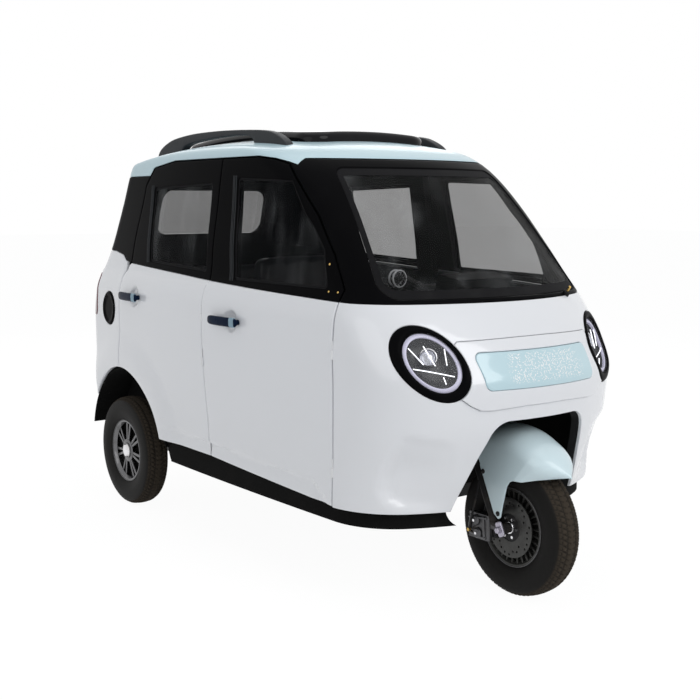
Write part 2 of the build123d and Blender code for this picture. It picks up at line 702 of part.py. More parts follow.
def floor_and_skirts(body):
    """Floor pan with the raised rear deck, and the black skirts under the doors."""
    row = SECTIONS[0]
    plan = extruded(Face(body_section(row, SKIRT_INSET + SKIRT_THICK)), Vector(0, 0, 400))
    plan = plan.translate(Vector(0, 0, FLOOR_TOP - FLOOR_THICK - row[0]))
    floor = plan & slab((-FAR, FLOOR_FRONT_Y, 0), (FAR, DECK_Y, FLOOR_TOP))
    riser = slab((-DECK_HALF, DECK_Y - FLOOR_THICK, FLOOR_TOP - FLOOR_THICK),
                 (DECK_HALF, DECK_Y, DECK_TOP))
    deck = body.skin & slab((-FAR, DECK_Y - FLOOR_THICK, DECK_TOP - DECK_THICK),
                            (FAR, FAR, DECK_TOP))
    left = slab((0, -FAR, -FAR), (FAR, FAR, FAR))
    pan = joined(floor, riser & left, deck) - rear_arch(DECK_HALF)
    pan = pan - rod(*brace_ends(1), BRACE_RADIUS + BRACE_HOLE_AIR)
    save("floor_pan", whole(pan))

    outer = extruded(Face(body_section(row, SKIRT_INSET)), Vector(0, 0, 200))
    inner = extruded(Face(body_section(row, SKIRT_INSET + SKIRT_THICK)), Vector(0, 0, 200))
    ring = (outer - inner).translate(Vector(0, 0, SKIRT_BOTTOM - row[0]))
    ring = ring & slab((-FAR, -FAR, 0), (FAR, SKIRT_END_Y, FAR))
    ring = ring & prism_x(below([(y, z - SHUT_GAP) for y, z in SILL]), -FAR, FAR)
    ring = ring - prism_y(FRONT_ARCH, -1400, -500, FRONT_ARCH_CORNER)
    save("sill_skirts", *both_sides(ring - rear_arch()))


def rear_liners():
    """Black arch liners over both rear wheels, open below."""
    outer = REAR_ARCH_RADIUS - SHUT_GAP
    middle = (REAR_ARCH_Y, REAR_ARCH_Z)
    shell = pipe((DECK_HALF, *middle), (LINER_OUTER_X, *middle), outer, outer - LINER_SHEET)
    wall = rod((DECK_HALF, *middle), (DECK_HALF + LINER_SHEET, *middle), outer)
    liner = joined(shell, wall) & slab((0, -FAR, FLOOR_TOP), (FAR, FAR, FAR))
    save("rear_wheel_liners", *both_sides(liner))


def front_liner(body):
    """Box over the front wheel, open in front and below."""
    back = FLOOR_FRONT_Y
    outer = slab((-WELL_HALF, -1300, FLOOR_TOP - FLOOR_THICK), (WELL_HALF, back, WELL_TOP))
    room = slab((-WELL_HALF + WELL_SHEET, -1400, 0),
                (WELL_HALF - WELL_SHEET, back - WELL_SHEET, WELL_TOP - WELL_SHEET))
    hole_y, hole_radius = WELL_HOLE
    liner = (outer - room) - rod((0, hole_y, 500), (0, hole_y, 800), hole_radius)
    save("front_wheel_liner", whole(body.wall_back & liner))


# ----------------------------------------------------------------- steering
def on_axis(up, ahead=0.0, x=0.0):
    """Point at a distance up the steering axis from axle height, or off it."""
    rake = radians(RAKE)
    y = FRONT_AXLE_Y + STEER_OFFSET + up * sin(rake) - ahead * cos(rake)
    z = WHEEL_RADIUS + up * cos(rake) + ahead * sin(rake)
    return (x, y, z)


def fork():
    """Fork legs with axle bosses and fender tabs, crown, stem and axle as one piece."""
    crown_up = FORK_CROWN_UP - CROWN_RADIUS
    pieces = []
    for side in (-1, 1):
        x, plate_x = side * LEG_X, side * (LEG_X + LEG_TO_PLATE)
        foot = on_axis(LEG_FOOT_UP, 0, x)
        pieces.append(rod(foot, on_axis(crown_up, 0, x), FORK_LEG_RADIUS))
        pieces += [ball(foot, FORK_LEG_RADIUS + 1), rod(foot, (x, *AXLE_POINT), FORK_LEG_RADIUS - 1)]
        pieces.append(rod((x - side * FORK_LEG_RADIUS, *AXLE_POINT), (plate_x, *AXLE_POINT),
                          AXLE_BOSS_RADIUS))
        for up, ahead in FENDER_BOLTS:
            tip = on_axis(up, ahead, x)
            pieces += [rod(on_axis(up, 0, x), tip, FENDER_TAB_RADIUS - 2),
                       rod(on_axis(up, ahead, x - side * FENDER_TAB_RADIUS),
                           on_axis(up, ahead, plate_x), FENDER_TAB_RADIUS)]
    pieces.append(rod(on_axis(crown_up, 0, -LEG_X), on_axis(crown_up, 0, LEG_X), CROWN_RADIUS))
    pieces.append(rod(on_axis(crown_up - CROWN_RADIUS), on_axis(FORK_CROWN_UP), HEAD_RADIUS))
    pieces.append(rod(on_axis(crown_up), on_axis(BAR_UP), STEM_RADIUS))
    pieces.append(rod((-LEG_X, *AXLE_POINT), (LEG_X, *AXLE_POINT), FRONT_SHAFT_RADIUS))
    save("front_fork", joined(*pieces))


def handlebar():
    """Handlebar clamped over the top of the stem, with its grips."""
    clamp = pipe(on_axis(BAR_UP - 40), on_axis(BAR_UP), STEM_RADIUS + CLAMP_WALL, STEM_RADIUS)
    ends = [on_axis(BAR_UP - 20, 30, side * BAR_HALF * 0.4) for side in (-1, 1)]
    pieces = [clamp, rod(*ends, BAR_RADIUS),
              rod(on_axis(BAR_UP - 20, STEM_RADIUS + 2), on_axis(BAR_UP - 20, 34), BAR_RADIUS + 1)]
    for side in (-1, 1):
        inner = on_axis(BAR_UP - 20, 30, side * BAR_HALF * 0.4)
        knee = on_axis(BAR_UP + 30, 10, side * BAR_HALF * 0.58)
        tip = on_axis(BAR_UP + 20, -60, side * BAR_HALF)
        pieces += [rod(inner, knee, BAR_RADIUS), rod(knee, tip, BAR_RADIUS)]
        pieces += [ball(p, BAR_RADIUS) for p in (inner, knee)]
        grip_start = tuple(k + (t - k) * 0.35 for k, t in zip(knee, tip))
        pieces.append(rod(grip_start, tip, GRIP_RADIUS))
    save("handlebar", joined(*pieces))


def front_fender():
    """Crowned sheet over the tyre with a pointed leg down to each end of the axle."""
    centre = on_axis(FENDER_LIFT, STEER_OFFSET * cos(radians(RAKE)))
    cy, cz = centre[1], centre[2]
    half, edge = FENDER_HALF_WIDTH, FENDER_RADIUS - FENDER_EDGE_DROP

    def profile(inset):
        wide, low = half - inset, FENDER_CORE_RADIUS
        shoulder, top = edge - inset * 0.5, FENDER_RADIUS - inset
        arc = Edge.make_three_point_arc(Vector(-wide, cy, cz + shoulder), Vector(0, cy, cz + top),
                                        Vector(wide, cy, cz + shoulder))
        lines = [Edge.make_line(Vector(wide, cy, cz + shoulder), Vector(wide, cy, cz + low)),
                 Edge.make_line(Vector(wide, cy, cz + low), Vector(-wide, cy, cz + low)),
                 Edge.make_line(Vector(-wide, cy, cz + low), Vector(-wide, cy, cz + shoulder))]
        return Face(Wire([arc] + lines))

    spin = Axis((0, cy, cz), (1, 0, 0))
    start, sweep = FENDER_REAR_ANGLE - 90, FENDER_FRONT_ANGLE - FENDER_REAR_ANGLE
    outer = revolved(profile(0).rotate(spin, start), sweep, spin)
    inner = revolved(profile(FENDER_SHEET).rotate(spin, start), sweep, spin)
    core = rod((FENDER_SHEET - half, cy, cz), (half - FENDER_SHEET, cy, cz),
               FENDER_CORE_RADIUS + 2)
    behind = prism_x([on_axis(up, ahead)[1:] for up, ahead in
                      ((-200, FENDER_REAR_AHEAD), (700, FENDER_REAR_AHEAD), (700, -400),
                       (-200, -400))], -FAR, FAR)
    below_hem = slab((-FAR, -FAR, -FAR), (FAR, FAR, FENDER_HEM_Z))
    crown = rod(on_axis(FORK_CROWN_UP - 2 * CROWN_RADIUS - FENDER_AIR), on_axis(FORK_CROWN_UP),
                HEAD_RADIUS + FENDER_AIR)
    shell = outer - inner - core - behind - below_hem - crown
    rear = [on_axis(up, FENDER_REAR_AHEAD)[1:] for up in (210, 40)]
    legs = both_sides(prism_x(rear + FENDER_POINT, half - FENDER_SHEET, half))
    save("front_fender", joined(shell, *legs))


def steering_parts():
    fork()
    handlebar()
    front_fender()
    brake_caliper()


def brake_caliper():
    """Caliper over the rear of the disc, outside the tyre, on a bracket to the axle boss."""
    y, z = AXLE_POINT
    outer = slab((-CALIPER_OUTER_X, y + 60, z - 56), (-CALIPER_INNER_X, y + 156, z + 30), 10)
    inner = slab((-CALIPER_INNER_X, y + 52, z - 46), (-DISC_X + 14, y + 104, z + 24))
    reach = rod((-FAR, y, z), (FAR, y, z), DISC_RADIUS + 10)
    slot = pipe((-DISC_X - 5, y, z), (-DISC_X + 5, y, z), DISC_RADIUS + 4, 1)
    bracket = slab((-CALIPER_OUTER_X + 8, y + 4, z - 12), (-CALIPER_INNER_X - 4, y + 70, z + 6))
    bracket = bracket - rod((-FAR, y, z), (0, y, z), AXLE_BOSS_RADIUS)
    caliper = joined(outer, inner & reach, bracket) - slot
    foot = on_axis(LEG_FOOT_UP, 0, -LEG_X)
    for solid in (rod(foot, on_axis(200, 0, -LEG_X), FORK_LEG_RADIUS),
                  ball(foot, FORK_LEG_RADIUS + 1),
                  rod(foot, (-LEG_X, *AXLE_POINT), FORK_LEG_RADIUS - 1)):
        caliper = caliper - solid
    save("brake_caliper", caliper)


# -------------------------------------------------------------------- wheels
def ring_x(x, y, profile):
    """Solid of revolution about a wheel's own axle, from (x, radius) points."""
    face = Face(Wire.make_polygon([Vector(x + u, y, WHEEL_RADIUS + r) for u, r in profile],
                                  close=True))
    return revolved(face, 360, Axis((x, y, WHEEL_RADIUS), (1, 0, 0)))


def tyre(x, y):
    """Round-shouldered tyre, smooth where its tread is."""
    half, top, bead = TYRE_WIDTH / 2, WHEEL_RADIUS, RIM_RADIUS + BEAD_GAP
    profile = [(-half * 0.62, bead), (-half * 0.86, bead + 16), (-half, bead + 44),
               (-half * 0.98, top - 34), (-half * 0.86, top - 14), (-half * 0.66, top - 4),
               (-half * 0.3, top), (half * 0.3, top), (half * 0.66, top - 4),
               (half * 0.86, top - 14), (half * 0.98, top - 34), (half, bead + 44),
               (half * 0.86, bead + 16), (half * 0.62, bead)]
    return ring_x(x, y, profile)


def rim(x, y, shaft, spokes, face_x):
    """Rim barrel, spoked face and hub with the bore for its shaft."""
    half = TYRE_WIDTH / 2 * 0.62
    barrel = ring_x(x, y, [(-half - 6, RIM_RADIUS + 6), (-half, RIM_RADIUS), (half, RIM_RADIUS),
                           (half + 6, RIM_RADIUS + 6), (half + 6, RIM_RADIUS - 4),
                           (half - 6, RIM_RADIUS - 12), (-half + 6, RIM_RADIUS - 12),
                           (-half - 6, RIM_RADIUS - 4)])
    hub = rod((x - HUB_HALF, y, WHEEL_RADIUS), (x + HUB_HALF, y, WHEEL_RADIUS), HUB_RADIUS)
    arms = []
    for index in range(spokes):
        arm = slab((x + face_x - SPOKE_HALF_THICK, y - SPOKE_HALF_WIDTH,
                    WHEEL_RADIUS + HUB_RADIUS - 8),
                   (x + face_x + SPOKE_HALF_THICK, y + SPOKE_HALF_WIDTH,
                    WHEEL_RADIUS + RIM_RADIUS - 8))
        arms.append(arm.rotate(Axis((x, y, WHEEL_RADIUS), (1, 0, 0)), 360.0 / spokes * index))
    bore = rod((x - 90, y, WHEEL_RADIUS), (x + 90, y, WHEEL_RADIUS), shaft + RUNNING_CLEARANCE)
    return joined(barrel, hub, *arms) - bore


def wheels():
    """Front wheel with its brake disc and the two rear wheels."""
    save("front_tyre", tyre(0, FRONT_AXLE_Y))
    front = rim(0, FRONT_AXLE_Y, FRONT_SHAFT_RADIUS, FRONT_SPOKES, 0)
    bore = FRONT_SHAFT_RADIUS + RUNNING_CLEARANCE
    disc = pipe((-DISC_X - DISC_HALF_THICK, *AXLE_POINT),
                (-DISC_X + DISC_HALF_THICK, *AXLE_POINT), DISC_RADIUS, bore)
    carrier = pipe((-DISC_X, *AXLE_POINT), (-HUB_HALF + 4, *AXLE_POINT),
                   DISC_CARRIER_RADIUS, bore)
    save("front_rim", joined(front, carrier, disc))
    for side, name in ((1, "left"), (-1, "right")):
        x = side * REAR_TRACK_HALF
        save(f"rear_tyre_{name}", tyre(x, REAR_AXLE_Y))
        save(f"rear_rim_{name}", rim(x, REAR_AXLE_Y, REAR_SHAFT_RADIUS, REAR_SPOKES,
                                      side * REAR_FACE_X))


# ------------------------------------------------------- chassis and drive
def brace_ends(side):
    """Foot on the front cross member and knee over the wheel well of a head brace."""
    foot = (side * (RAIL_X - 30), RAIL_START_Y + CROSS_SIZE / 2, RAIL_LOW + CROSS_SIZE / 2)
    return foot, (side * BRACE_KNEE_X, RAIL_START_Y - 15, WELL_TOP + 44)


def chassis():
    """Ladder frame that kicks up over the rear axle, and the steering head."""
    top = FLOOR_TOP - FLOOR_THICK
    deck = DECK_TOP - DECK_THICK
    rear_low = deck - RAIL_DEPTH
    rail = [(RAIL_START_Y, RAIL_LOW), (DECK_Y + 30, RAIL_LOW), (DECK_Y + RAIL_KICK, rear_low),
            (RAIL_END_Y, rear_low), (RAIL_END_Y, deck), (DECK_Y + 50, deck), (DECK_Y, top),
            (RAIL_START_Y, top)]
    members = both_sides(prism_x(rail, RAIL_X - RAIL_HALF, RAIL_X + RAIL_HALF))
    crosses = [(y, RAIL_LOW) for y in LOW_CROSS_Y] + [(REAR_CROSS_Y, rear_low)]
    for y, low in crosses:
        members.append(slab((-RAIL_X, y, low), (RAIL_X, y + CROSS_SIZE, low + CROSS_SIZE)))
    head_low = FORK_CROWN_UP + HEAD_GAP
    head = pipe(on_axis(head_low), on_axis(head_low + HEAD_LENGTH), HEAD_RADIUS,
                STEM_RADIUS + RUNNING_CLEARANCE)
    for side in (-1, 1):
        foot, knee = brace_ends(side)
        neck = on_axis(head_low + HEAD_LENGTH - 26, 0, side * (STEM_RADIUS + 6))
        members += [rod(foot, knee, BRACE_RADIUS), rod(knee, neck, BRACE_RADIUS)]
        members.append(ball(knee, BRACE_RADIUS))
    bore = rod(on_axis(head_low - 5), on_axis(head_low + HEAD_LENGTH + 5),
               STEM_RADIUS + RUNNING_CLEARANCE)
    save("chassis_frame", joined(head, *members) - bore)


def rear_axle():
    """Axle tube, gear case, motor, drums and the two wheel shafts."""
    at = (REAR_AXLE_Y, WHEEL_RADIUS)
    reach = REAR_TRACK_HALF - HUB_HALF - SEAT_CLEARANCE
    tube = rod((-reach, *at), (reach, *at), AXLE_TUBE_RADIUS)
    case = rod((GEAR_CASE_X[0], *at), (GEAR_CASE_X[1], *at), GEAR_CASE_RADIUS)
    motor = rod((GEAR_CASE_X[1], *at), (MOTOR_END_X, *at), MOTOR_RADIUS)
    drums = [rod((s * (DECK_HALF + 18), *at), (s * reach, *at), DRUM_RADIUS) for s in (-1, 1)]
    shaft_end = REAR_TRACK_HALF + HUB_HALF + 6
    shaft = rod((-shaft_end, *at), (shaft_end, *at), REAR_SHAFT_RADIUS)
    save("rear_axle", joined(tube, case, motor, *drums, shaft))


def rear_springs():
    """Leaf packs on the axle tube and dampers beside them."""
    base = WHEEL_RADIUS + AXLE_TUBE_RADIUS
    rail_low = DECK_TOP - DECK_THICK - RAIL_DEPTH
    x_in, x_out = SPRING_X - SPRING_HALF, SPRING_X + SPRING_HALF
    ends = (REAR_AXLE_Y - SPRING_REACH, REAR_AXLE_Y + SPRING_REACH)
    low = [Vector(x_in, y, z) for y, z in ((ends[0], base + SPRING_RISE), (REAR_AXLE_Y, base),
                                           (ends[1], base + SPRING_RISE))]
    high = [v + Vector(0, 0, SPRING_PACK) for v in low]
    outline = Wire([Edge.make_three_point_arc(*low), Edge.make_line(low[2], high[2]),
                    Edge.make_three_point_arc(high[2], high[1], high[0]),
                    Edge.make_line(high[0], low[0])])
    pack = extruded(Face(outline), Vector(2 * SPRING_HALF, 0, 0))
    hangers = [slab((x_in, y - HANGER_HALF, base + SPRING_RISE + 6),
                    (x_out, y + HANGER_HALF, rail_low))
               for y in (ends[0] + HANGER_HALF, ends[1] - HANGER_HALF)]
    at = (DAMPER_X, REAR_AXLE_Y, WHEEL_RADIUS)
    foot = (DAMPER_X, REAR_AXLE_Y + 16, WHEEL_RADIUS + AXLE_TUBE_RADIUS * 0.5)
    tip = (DAMPER_X, foot[1] + DAMPER_LEAN, rail_low + 60)
    damper = rod(foot, tip, DAMPER_RADIUS) - rod(at, (0, *at[1:]), AXLE_TUBE_RADIUS)
    damper = damper - rod(at, (FAR, *at[1:]), AXLE_TUBE_RADIUS)
    damper = damper - slab((-FAR, -FAR, DECK_TOP - DECK_THICK), (FAR, FAR, FAR))
    save("rear_suspension", *both_sides(joined(pack, *hangers)), *both_sides(damper))


# ------------------------------------------------------------------ the inside
def inside(body):
    """Dashboard, instrument pod, fan, seats and the battery under the driver."""
    board = joined(whole(body.frame_back & prism_x(DASH, -DASH_HALF, DASH_HALF)),
                   prism_x(POD, -POD_HALF, POD_HALF))
    save("dashboard", board)
    x, y, z = FAN_AT
    fan = rod((x, y - FAN_HALF_DEPTH, z), (x, y + FAN_HALF_DEPTH, z), FAN_RADIUS)
    stalk = rod((x, y, z - FAN_RADIUS - 40), FAN_AT, FAN_STALK_RADIUS)
    save("demister_fan", joined(fan, stalk) - board)
    seat_low = FLOOR_TOP + BATTERY_HEIGHT
    save("battery_block", slab((-BATTERY_HALF, BATTERY_Y[0], FLOOR_TOP),
                               (BATTERY_HALF, BATTERY_Y[1], seat_low), 20))
    cushion = slab((-SEAT_HALF, SEAT_Y[0], seat_low), (SEAT_HALF, SEAT_Y[1], SEAT_TOP), 45)
    save("driver_seat_cushion", cushion)
    save("driver_seat_back", leaning_back(SEAT_Y[1] - BACK_TUCK, SEAT_TOP - 60, SEAT_HALF - 10,
                                          SEAT_BACK_HEIGHT, SEAT_BACK_THICK) - cushion)
    bench_front = DECK_Y + 10
    bench_end = bench_front + BENCH_DEPTH
    cushion = slab((-BENCH_HALF, bench_front, DECK_TOP), (BENCH_HALF, bench_end, BENCH_TOP), 40)
    save("rear_bench_cushion", cushion)
    save("rear_bench_back", leaning_back(bench_end - BACK_TUCK, BENCH_TOP - 120, BENCH_HALF,
                                         BENCH_BACK_HEIGHT, BENCH_BACK_THICK) - cushion)


def leaning_back(y, z, half, height, thick):
    """Upright cushion that leans back."""
    lean = height * SEAT_LEAN
    outline = [(y, z), (y + thick, z), (y + thick + lean, z + height), (y + lean, z + height)]
    return prism_x(outline, -half, half, thick * 0.4)


# ------------------------------------------------------------------ on the roof
def roof_fittings(body):
    """Roof rails and the raised dark panel between them."""
    bar = prism_x(RAIL_OUTLINE, RAIL_BAR_X - RAIL_BAR_HALF, RAIL_BAR_X + RAIL_BAR_HALF)
    hole = prism_x(RAIL_OPENING, RAIL_BAR_X - 60, RAIL_BAR_X + 60)
    rail = (bar - hole) - body.skin
    save("roof_rails", *both_sides(rail))
    left = slab((0, -FAR, -FAR), (FAR, FAR, FAR))
    lid = prism_z(SUNROOF, 1300, 1700, SUNROOF_CORNER) & roof_dome(-SUNROOF_PROUD) & left
    save("sunroof_panel", whole(lid - body.skin))


def small_fittings(body):
    """Wiper spindle and the number plate holder with its two bolt holes."""
    boss = rod(WIPER_FOOT, WIPER_SHOULDER, WIPER_BOSS_RADIUS)
    spindle = joined(boss, rod(WIPER_SHOULDER, WIPER_TIP, WIPER_PIN_RADIUS))
    save("wiper_spindle", spindle - body.skin)
    plate = slab((-PLATE_HALF, 1120, PLATE_Z[0]), (PLATE_HALF, 1250, PLATE_Z[1]))
    holder = whole(between(plate, body_block(-PLATE_THICK), body.skin))
    for x in (-PLATE_BOLT_X, PLATE_BOLT_X):
        holder = holder - plate_bolt(x)
    save("number_plate_holder", holder)


def plate_bolt(x):
    """Hole of a number plate's bolt, through the holder and the tail."""
    return rod((x, 1000, PLATE_BOLT_Z), (x, 1400, PLATE_BOLT_Z), PLATE_BOLT_RADIUS)


def main():
    os.makedirs("parts", exist_ok=True)
    body = Body()
    hinges = all_hinges(body)
    fixed_panels(body, hinges)
    doors(body, hinges)
    cabin_frame(body, hinges)
    floor_and_skirts(body)
    rear_liners()
    front_liner(body)
    steering_parts()
    wheels()
    chassis()
    rear_axle()
    rear_springs()
    inside(body)
    roof_fittings(body)
    small_fittings(body)


main()
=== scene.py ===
"""Looks of an enclosed electric three-wheeled car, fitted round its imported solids.

Lengths are millimetres until a mesh is written, which turns them into metres.
+Z is up, the car faces -Y and its left side is +X. Panels are sheets laid on one
smooth skin, which is a function of a place round the body and a height.
"""
from __future__ import annotations

import logging
from dataclasses import dataclass
from enum import Enum
from math import atan2, cos, pi, radians, sin, sqrt, tau
from typing import Callable, Iterable, Sequence

import bpy
import numpy as np
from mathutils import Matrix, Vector
from mathutils.geometry import delaunay_2d_cdt


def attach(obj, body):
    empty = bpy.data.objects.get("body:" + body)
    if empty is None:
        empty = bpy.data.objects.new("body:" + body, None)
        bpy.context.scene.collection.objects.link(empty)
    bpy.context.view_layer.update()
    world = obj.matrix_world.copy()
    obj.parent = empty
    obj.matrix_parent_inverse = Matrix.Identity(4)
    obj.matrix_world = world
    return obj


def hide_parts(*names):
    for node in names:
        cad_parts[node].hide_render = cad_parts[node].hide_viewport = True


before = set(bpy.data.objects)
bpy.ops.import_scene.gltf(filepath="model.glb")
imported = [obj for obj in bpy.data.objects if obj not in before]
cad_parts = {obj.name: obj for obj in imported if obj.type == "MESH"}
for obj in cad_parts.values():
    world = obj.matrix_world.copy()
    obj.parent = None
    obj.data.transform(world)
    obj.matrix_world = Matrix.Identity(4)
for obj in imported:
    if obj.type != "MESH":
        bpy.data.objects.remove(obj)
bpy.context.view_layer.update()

LOG = logging.getLogger("car")
MM = 0.001
Array = np.ndarray
Outline = Sequence[tuple[float, float]]


# ------------------------------------------------------------------ sizes, mm
# Body sections. columns: height, nose_y, half_width, side_radius,
# front_corner_radius, tail_y
SECTIONS = (
    (300, -1012, 562, 20000, 270, 1146),
    (450, -1064, 566, 14000, 310, 1186),
    (600, -1108, 579, 9300, 315, 1222),
    (720, -1118, 587, 7800, 300, 1224),
    (820, -1072, 590, 7600, 260, 1214),
    (903, -1017, 590, 6800, 270, 1204),
    (975, -962, 573, 6400, 260, 1184),
    (1010, -926, 547, 8500, 225, 1158),
    (1125, -815, 535, 8000, 200, 1073),
    (1272, -673, 512, 8000, 195, 1010),
    (1400, -524, 494, 8600, 240, 956),
    (1440, -452, 486, 8700, 250, 936),
    (1470, -385, 473, 8800, 260, 915),
    (1495, -300, 440, 8900, 270, 875),
    (1535, -100, 350, 9000, 260, 760),
)
NOSE_RADIUS = 850.0
TAIL_RADIUS = 1570.0
REAR_CORNER_RADIUS = 95.0
WIDEST_Y = 178.0
CROWN_Z = 1528.0
CROWN_Y = 186.0
CROWN_CROSS_RADIUS = 2783.0
CROWN_LONG_RADIUS = 4000.0
AROUND = 3200.0            # length that stands for half the way round the body
WALL = 38.0
DOOR_WALL = 32.0
DOOR_LIP = 11.0
HALF_GAP = 2.6             # half of a shut gap between two painted edges
EDGE_ROLL = 4.5            # radius of a painted edge
PANE_GAP = 0.3             # between a pane and its frame
PANE_DEPTH = 6.0           # of a pane's outside under the skin

SILL = ((-1400, 312), (-699, 312), (46, 345), (470, 345), (470, 440), (1400, 440))
BELT = ((-1400, 968), (-740, 969), (46, 1001), (757, 1034), (800, 1041),
        (835, 1063), (925, 1077), (1400, 1080))
FRONT_DOOR_Y = -699.0
DOOR_SPLIT_Y = 46.0
REAR_DOOR_Y = 781.0
FRONT_DOOR_TOP = ((-699, 970), (-706, 1008), (-636, 1116), (-530, 1240), (-423, 1336),
                  (-335, 1411), (-265, 1430), (-184, 1440), (46, 1440))
REAR_DOOR_TOP = ((46, 1440), (420, 1440), (590, 1419), (655, 1350), (735, 1036),
                 (757, 1026), (781, 975))
FRONT_GLASS = ((-72, 1368), (-113, 1012), (-632, 1008), (-595, 1132), (-533, 1200),
               (-481, 1244), (-381, 1356))
REAR_GLASS = ((100, 1352), (84, 1030), (551, 1048), (569, 1340))
WINDSHIELD = ((-441, 982), (-354, 1398), (354, 1398), (441, 982))
REAR_WINDOW = ((-285, 1140), (-272, 1335), (272, 1335), (285, 1140))
FRONT_ARCH = ((-285, 250), (-268, 348), (-228, 500), (-190, 608),
              (190, 608), (228, 500), (268, 348), (285, 250))
GRILLE = ((-236, 710), (-247, 824), (247, 824), (236, 710))
TAIL_LAMP = ((462, 792), (470, 980), (560, 980), (560, 792))
PORT_AT = (901.0, 836.0)
PORT_RADIUS = 71.0
REAR_ARCH_RADIUS = 352.0
REAR_ARCH_Y = 766.0
REAR_ARCH_Z = 245.0
LAMP_AT = (380.0, -1002.0, 796.0)
LAMP_AIM = (0.47, -0.80, 0.37)
FRONT_AXLE_Y = -1004.0
REAR_AXLE_Y = 808.0
AXLE_Z = 230.0
TRACK_HALF = 497.0         # from the middle to a rear wheel
STEERING_Y = -964.0        # where the steering axis passes the front axle's height
STEERING_RAKE = 25.0


# ------------------------------------------------------------- numbers, arrays
def monotone_slopes(x: Array, y: Array) -> Array:
    """Slopes of a curve through points that never overshoots them.

    The slope at a point is the harmonic mean of its two neighbours' chords where
    both have one sign, and zero elsewhere.

    Args:
        x: Places of the points, rising.
        y: Values, one row for each point and one column for each curve.

    Returns:
        The slopes, shaped as y.
    """
    step = np.diff(x)[:, None]
    chord = np.diff(y, axis=0) / step
    before, after = chord[:-1], chord[1:]
    w_before, w_after = 2 * step[1:] + step[:-1], step[1:] + 2 * step[:-1]
    same = before * after > 0
    safe_b, safe_a = np.where(same, before, 1.0), np.where(same, after, 1.0)
    middle = np.where(same, (w_before + w_after) / (w_before / safe_b + w_after / safe_a), 0.0)
    return np.vstack([chord[:1], middle, chord[-1:]])


def around(count: int) -> Array:
    """Angles evenly round a circle, the first one 0."""
    return np.linspace(0, tau, count, endpoint=False)


def run_length(points: Array) -> Array:
    """Length along a polyline up to each of its points."""
    return np.concatenate([[0], np.cumsum(np.linalg.norm(np.diff(points, axis=0), axis=1))])


def smooth_step(x: Array, low: float, high: float) -> Array:
    """0 below low, 1 above high, and 3t^2 - 2t^3 between them."""
    t = np.clip((x - low) / (high - low), 0.0, 1.0)
    return t * t * (3 - 2 * t)


def rounded(points: Outline, radius: float, count: int = 7) -> Array:
    """A closed outline with each corner replaced by an arc of a circle.

    Args:
        points: Corners in order.
        radius: Radius of the arcs, less where a side is too short.
        count: Points on each arc.

    Returns:
        The outline's points.
    """
    p = np.asarray(points, float)
    to_prev = np.roll(p, 1, axis=0) - p
    to_next = np.roll(p, -1, axis=0) - p
    len_prev, len_next = np.linalg.norm(to_prev, axis=1), np.linalg.norm(to_next, axis=1)
    u, v = to_prev / len_prev[:, None], to_next / len_next[:, None]
    turn = np.arccos(np.clip((u * v).sum(1), -1, 1)) / 2
    cut = np.minimum(radius / np.tan(turn), 0.49 * np.minimum(len_prev, len_next))
    real = cut * np.tan(turn)
    bisector = (u + v) / np.linalg.norm(u + v, axis=1)[:, None]
    centre = p + bisector * (real / np.sin(turn))[:, None]
    start, end = p + u * cut[:, None], p + v * cut[:, None]
    a0 = np.arctan2(*(start - centre).T[::-1])
    sweep = np.arctan2(*(end - centre).T[::-1]) - a0
    sweep = (sweep + pi) % tau - pi
    angle = a0[:, None] + sweep[:, None] * np.linspace(0, 1, count)
    arc = centre[:, None] + real[:, None, None] * np.stack([np.cos(angle), np.sin(angle)], -1)
    return arc.reshape(-1, 2)


def dense(points: Array, step: float, closed: bool = True) -> Array:
    """The same polyline with extra points, so that no side is longer than a step."""
    p = np.asarray(points, float)
    ends = np.roll(p, -1, axis=0) if closed else p[1:]
    starts = p if closed else p[:-1]
    length = np.linalg.norm(ends - starts, axis=1)
    count = np.maximum(np.ceil(length / step).astype(int), 1)
    which = np.repeat(np.arange(len(starts)), count)
    part = np.arange(len(which)) - np.repeat(np.cumsum(count) - count, count)
    out = starts[which] + (ends - starts)[which] * (part / count[which])[:, None]
    keep = np.linalg.norm(out - np.roll(out, 1, axis=0), axis=1) > step * 0.05
    out = out[keep] if closed else np.vstack([out, p[-1:]])
    return out


def grown(points: Array, amount: float) -> Array:
    """A closed outline, counter-clockwise or not, with each side moved outwards."""
    p = np.asarray(points, float)
    area = ((p[:, 0] * np.roll(p[:, 1], -1)) - (np.roll(p[:, 0], -1) * p[:, 1])).sum()
    side = np.roll(p, -1, axis=0) - p
    normal = np.stack([side[:, 1], -side[:, 0]], 1) / np.linalg.norm(side, axis=1)[:, None]
    normal *= amount * np.sign(area)
    before = np.roll(normal, 1, axis=0)
    scale = 1 + (before * normal).sum(1) / max(amount * amount, 1e-9)
    return p + (before + normal) / np.maximum(scale, 0.35)[:, None]


def segment_distance(points: Array, loops: Sequence[Array]) -> Array:
    """Shortest distance from each point to the sides of closed outlines."""
    best = np.full(len(points), np.inf)
    for loop in loops:
        a, b = loop, np.roll(loop, -1, axis=0)
        best = np.minimum(best, polyline_distance(points, a, b))
    return best


def polyline_distance(points: Array, a: Array, b: Array, chunk: int = 2000) -> Array:
    """Shortest distance from each point to segments a-b, worked out in blocks."""
    dx, dy = (b - a).T
    square = np.maximum(dx * dx + dy * dy, 1e-12)
    out = np.empty(len(points))
    for low in range(0, len(points), chunk):
        x = points[low:low + chunk, 0, None] - a[:, 0]
        y = points[low:low + chunk, 1, None] - a[:, 1]
        t = np.clip((x * dx + y * dy) / square, 0, 1)
        x -= dx * t
        y -= dy * t
        out[low:low + chunk] = np.sqrt((x * x + y * y).min(1))
    return out


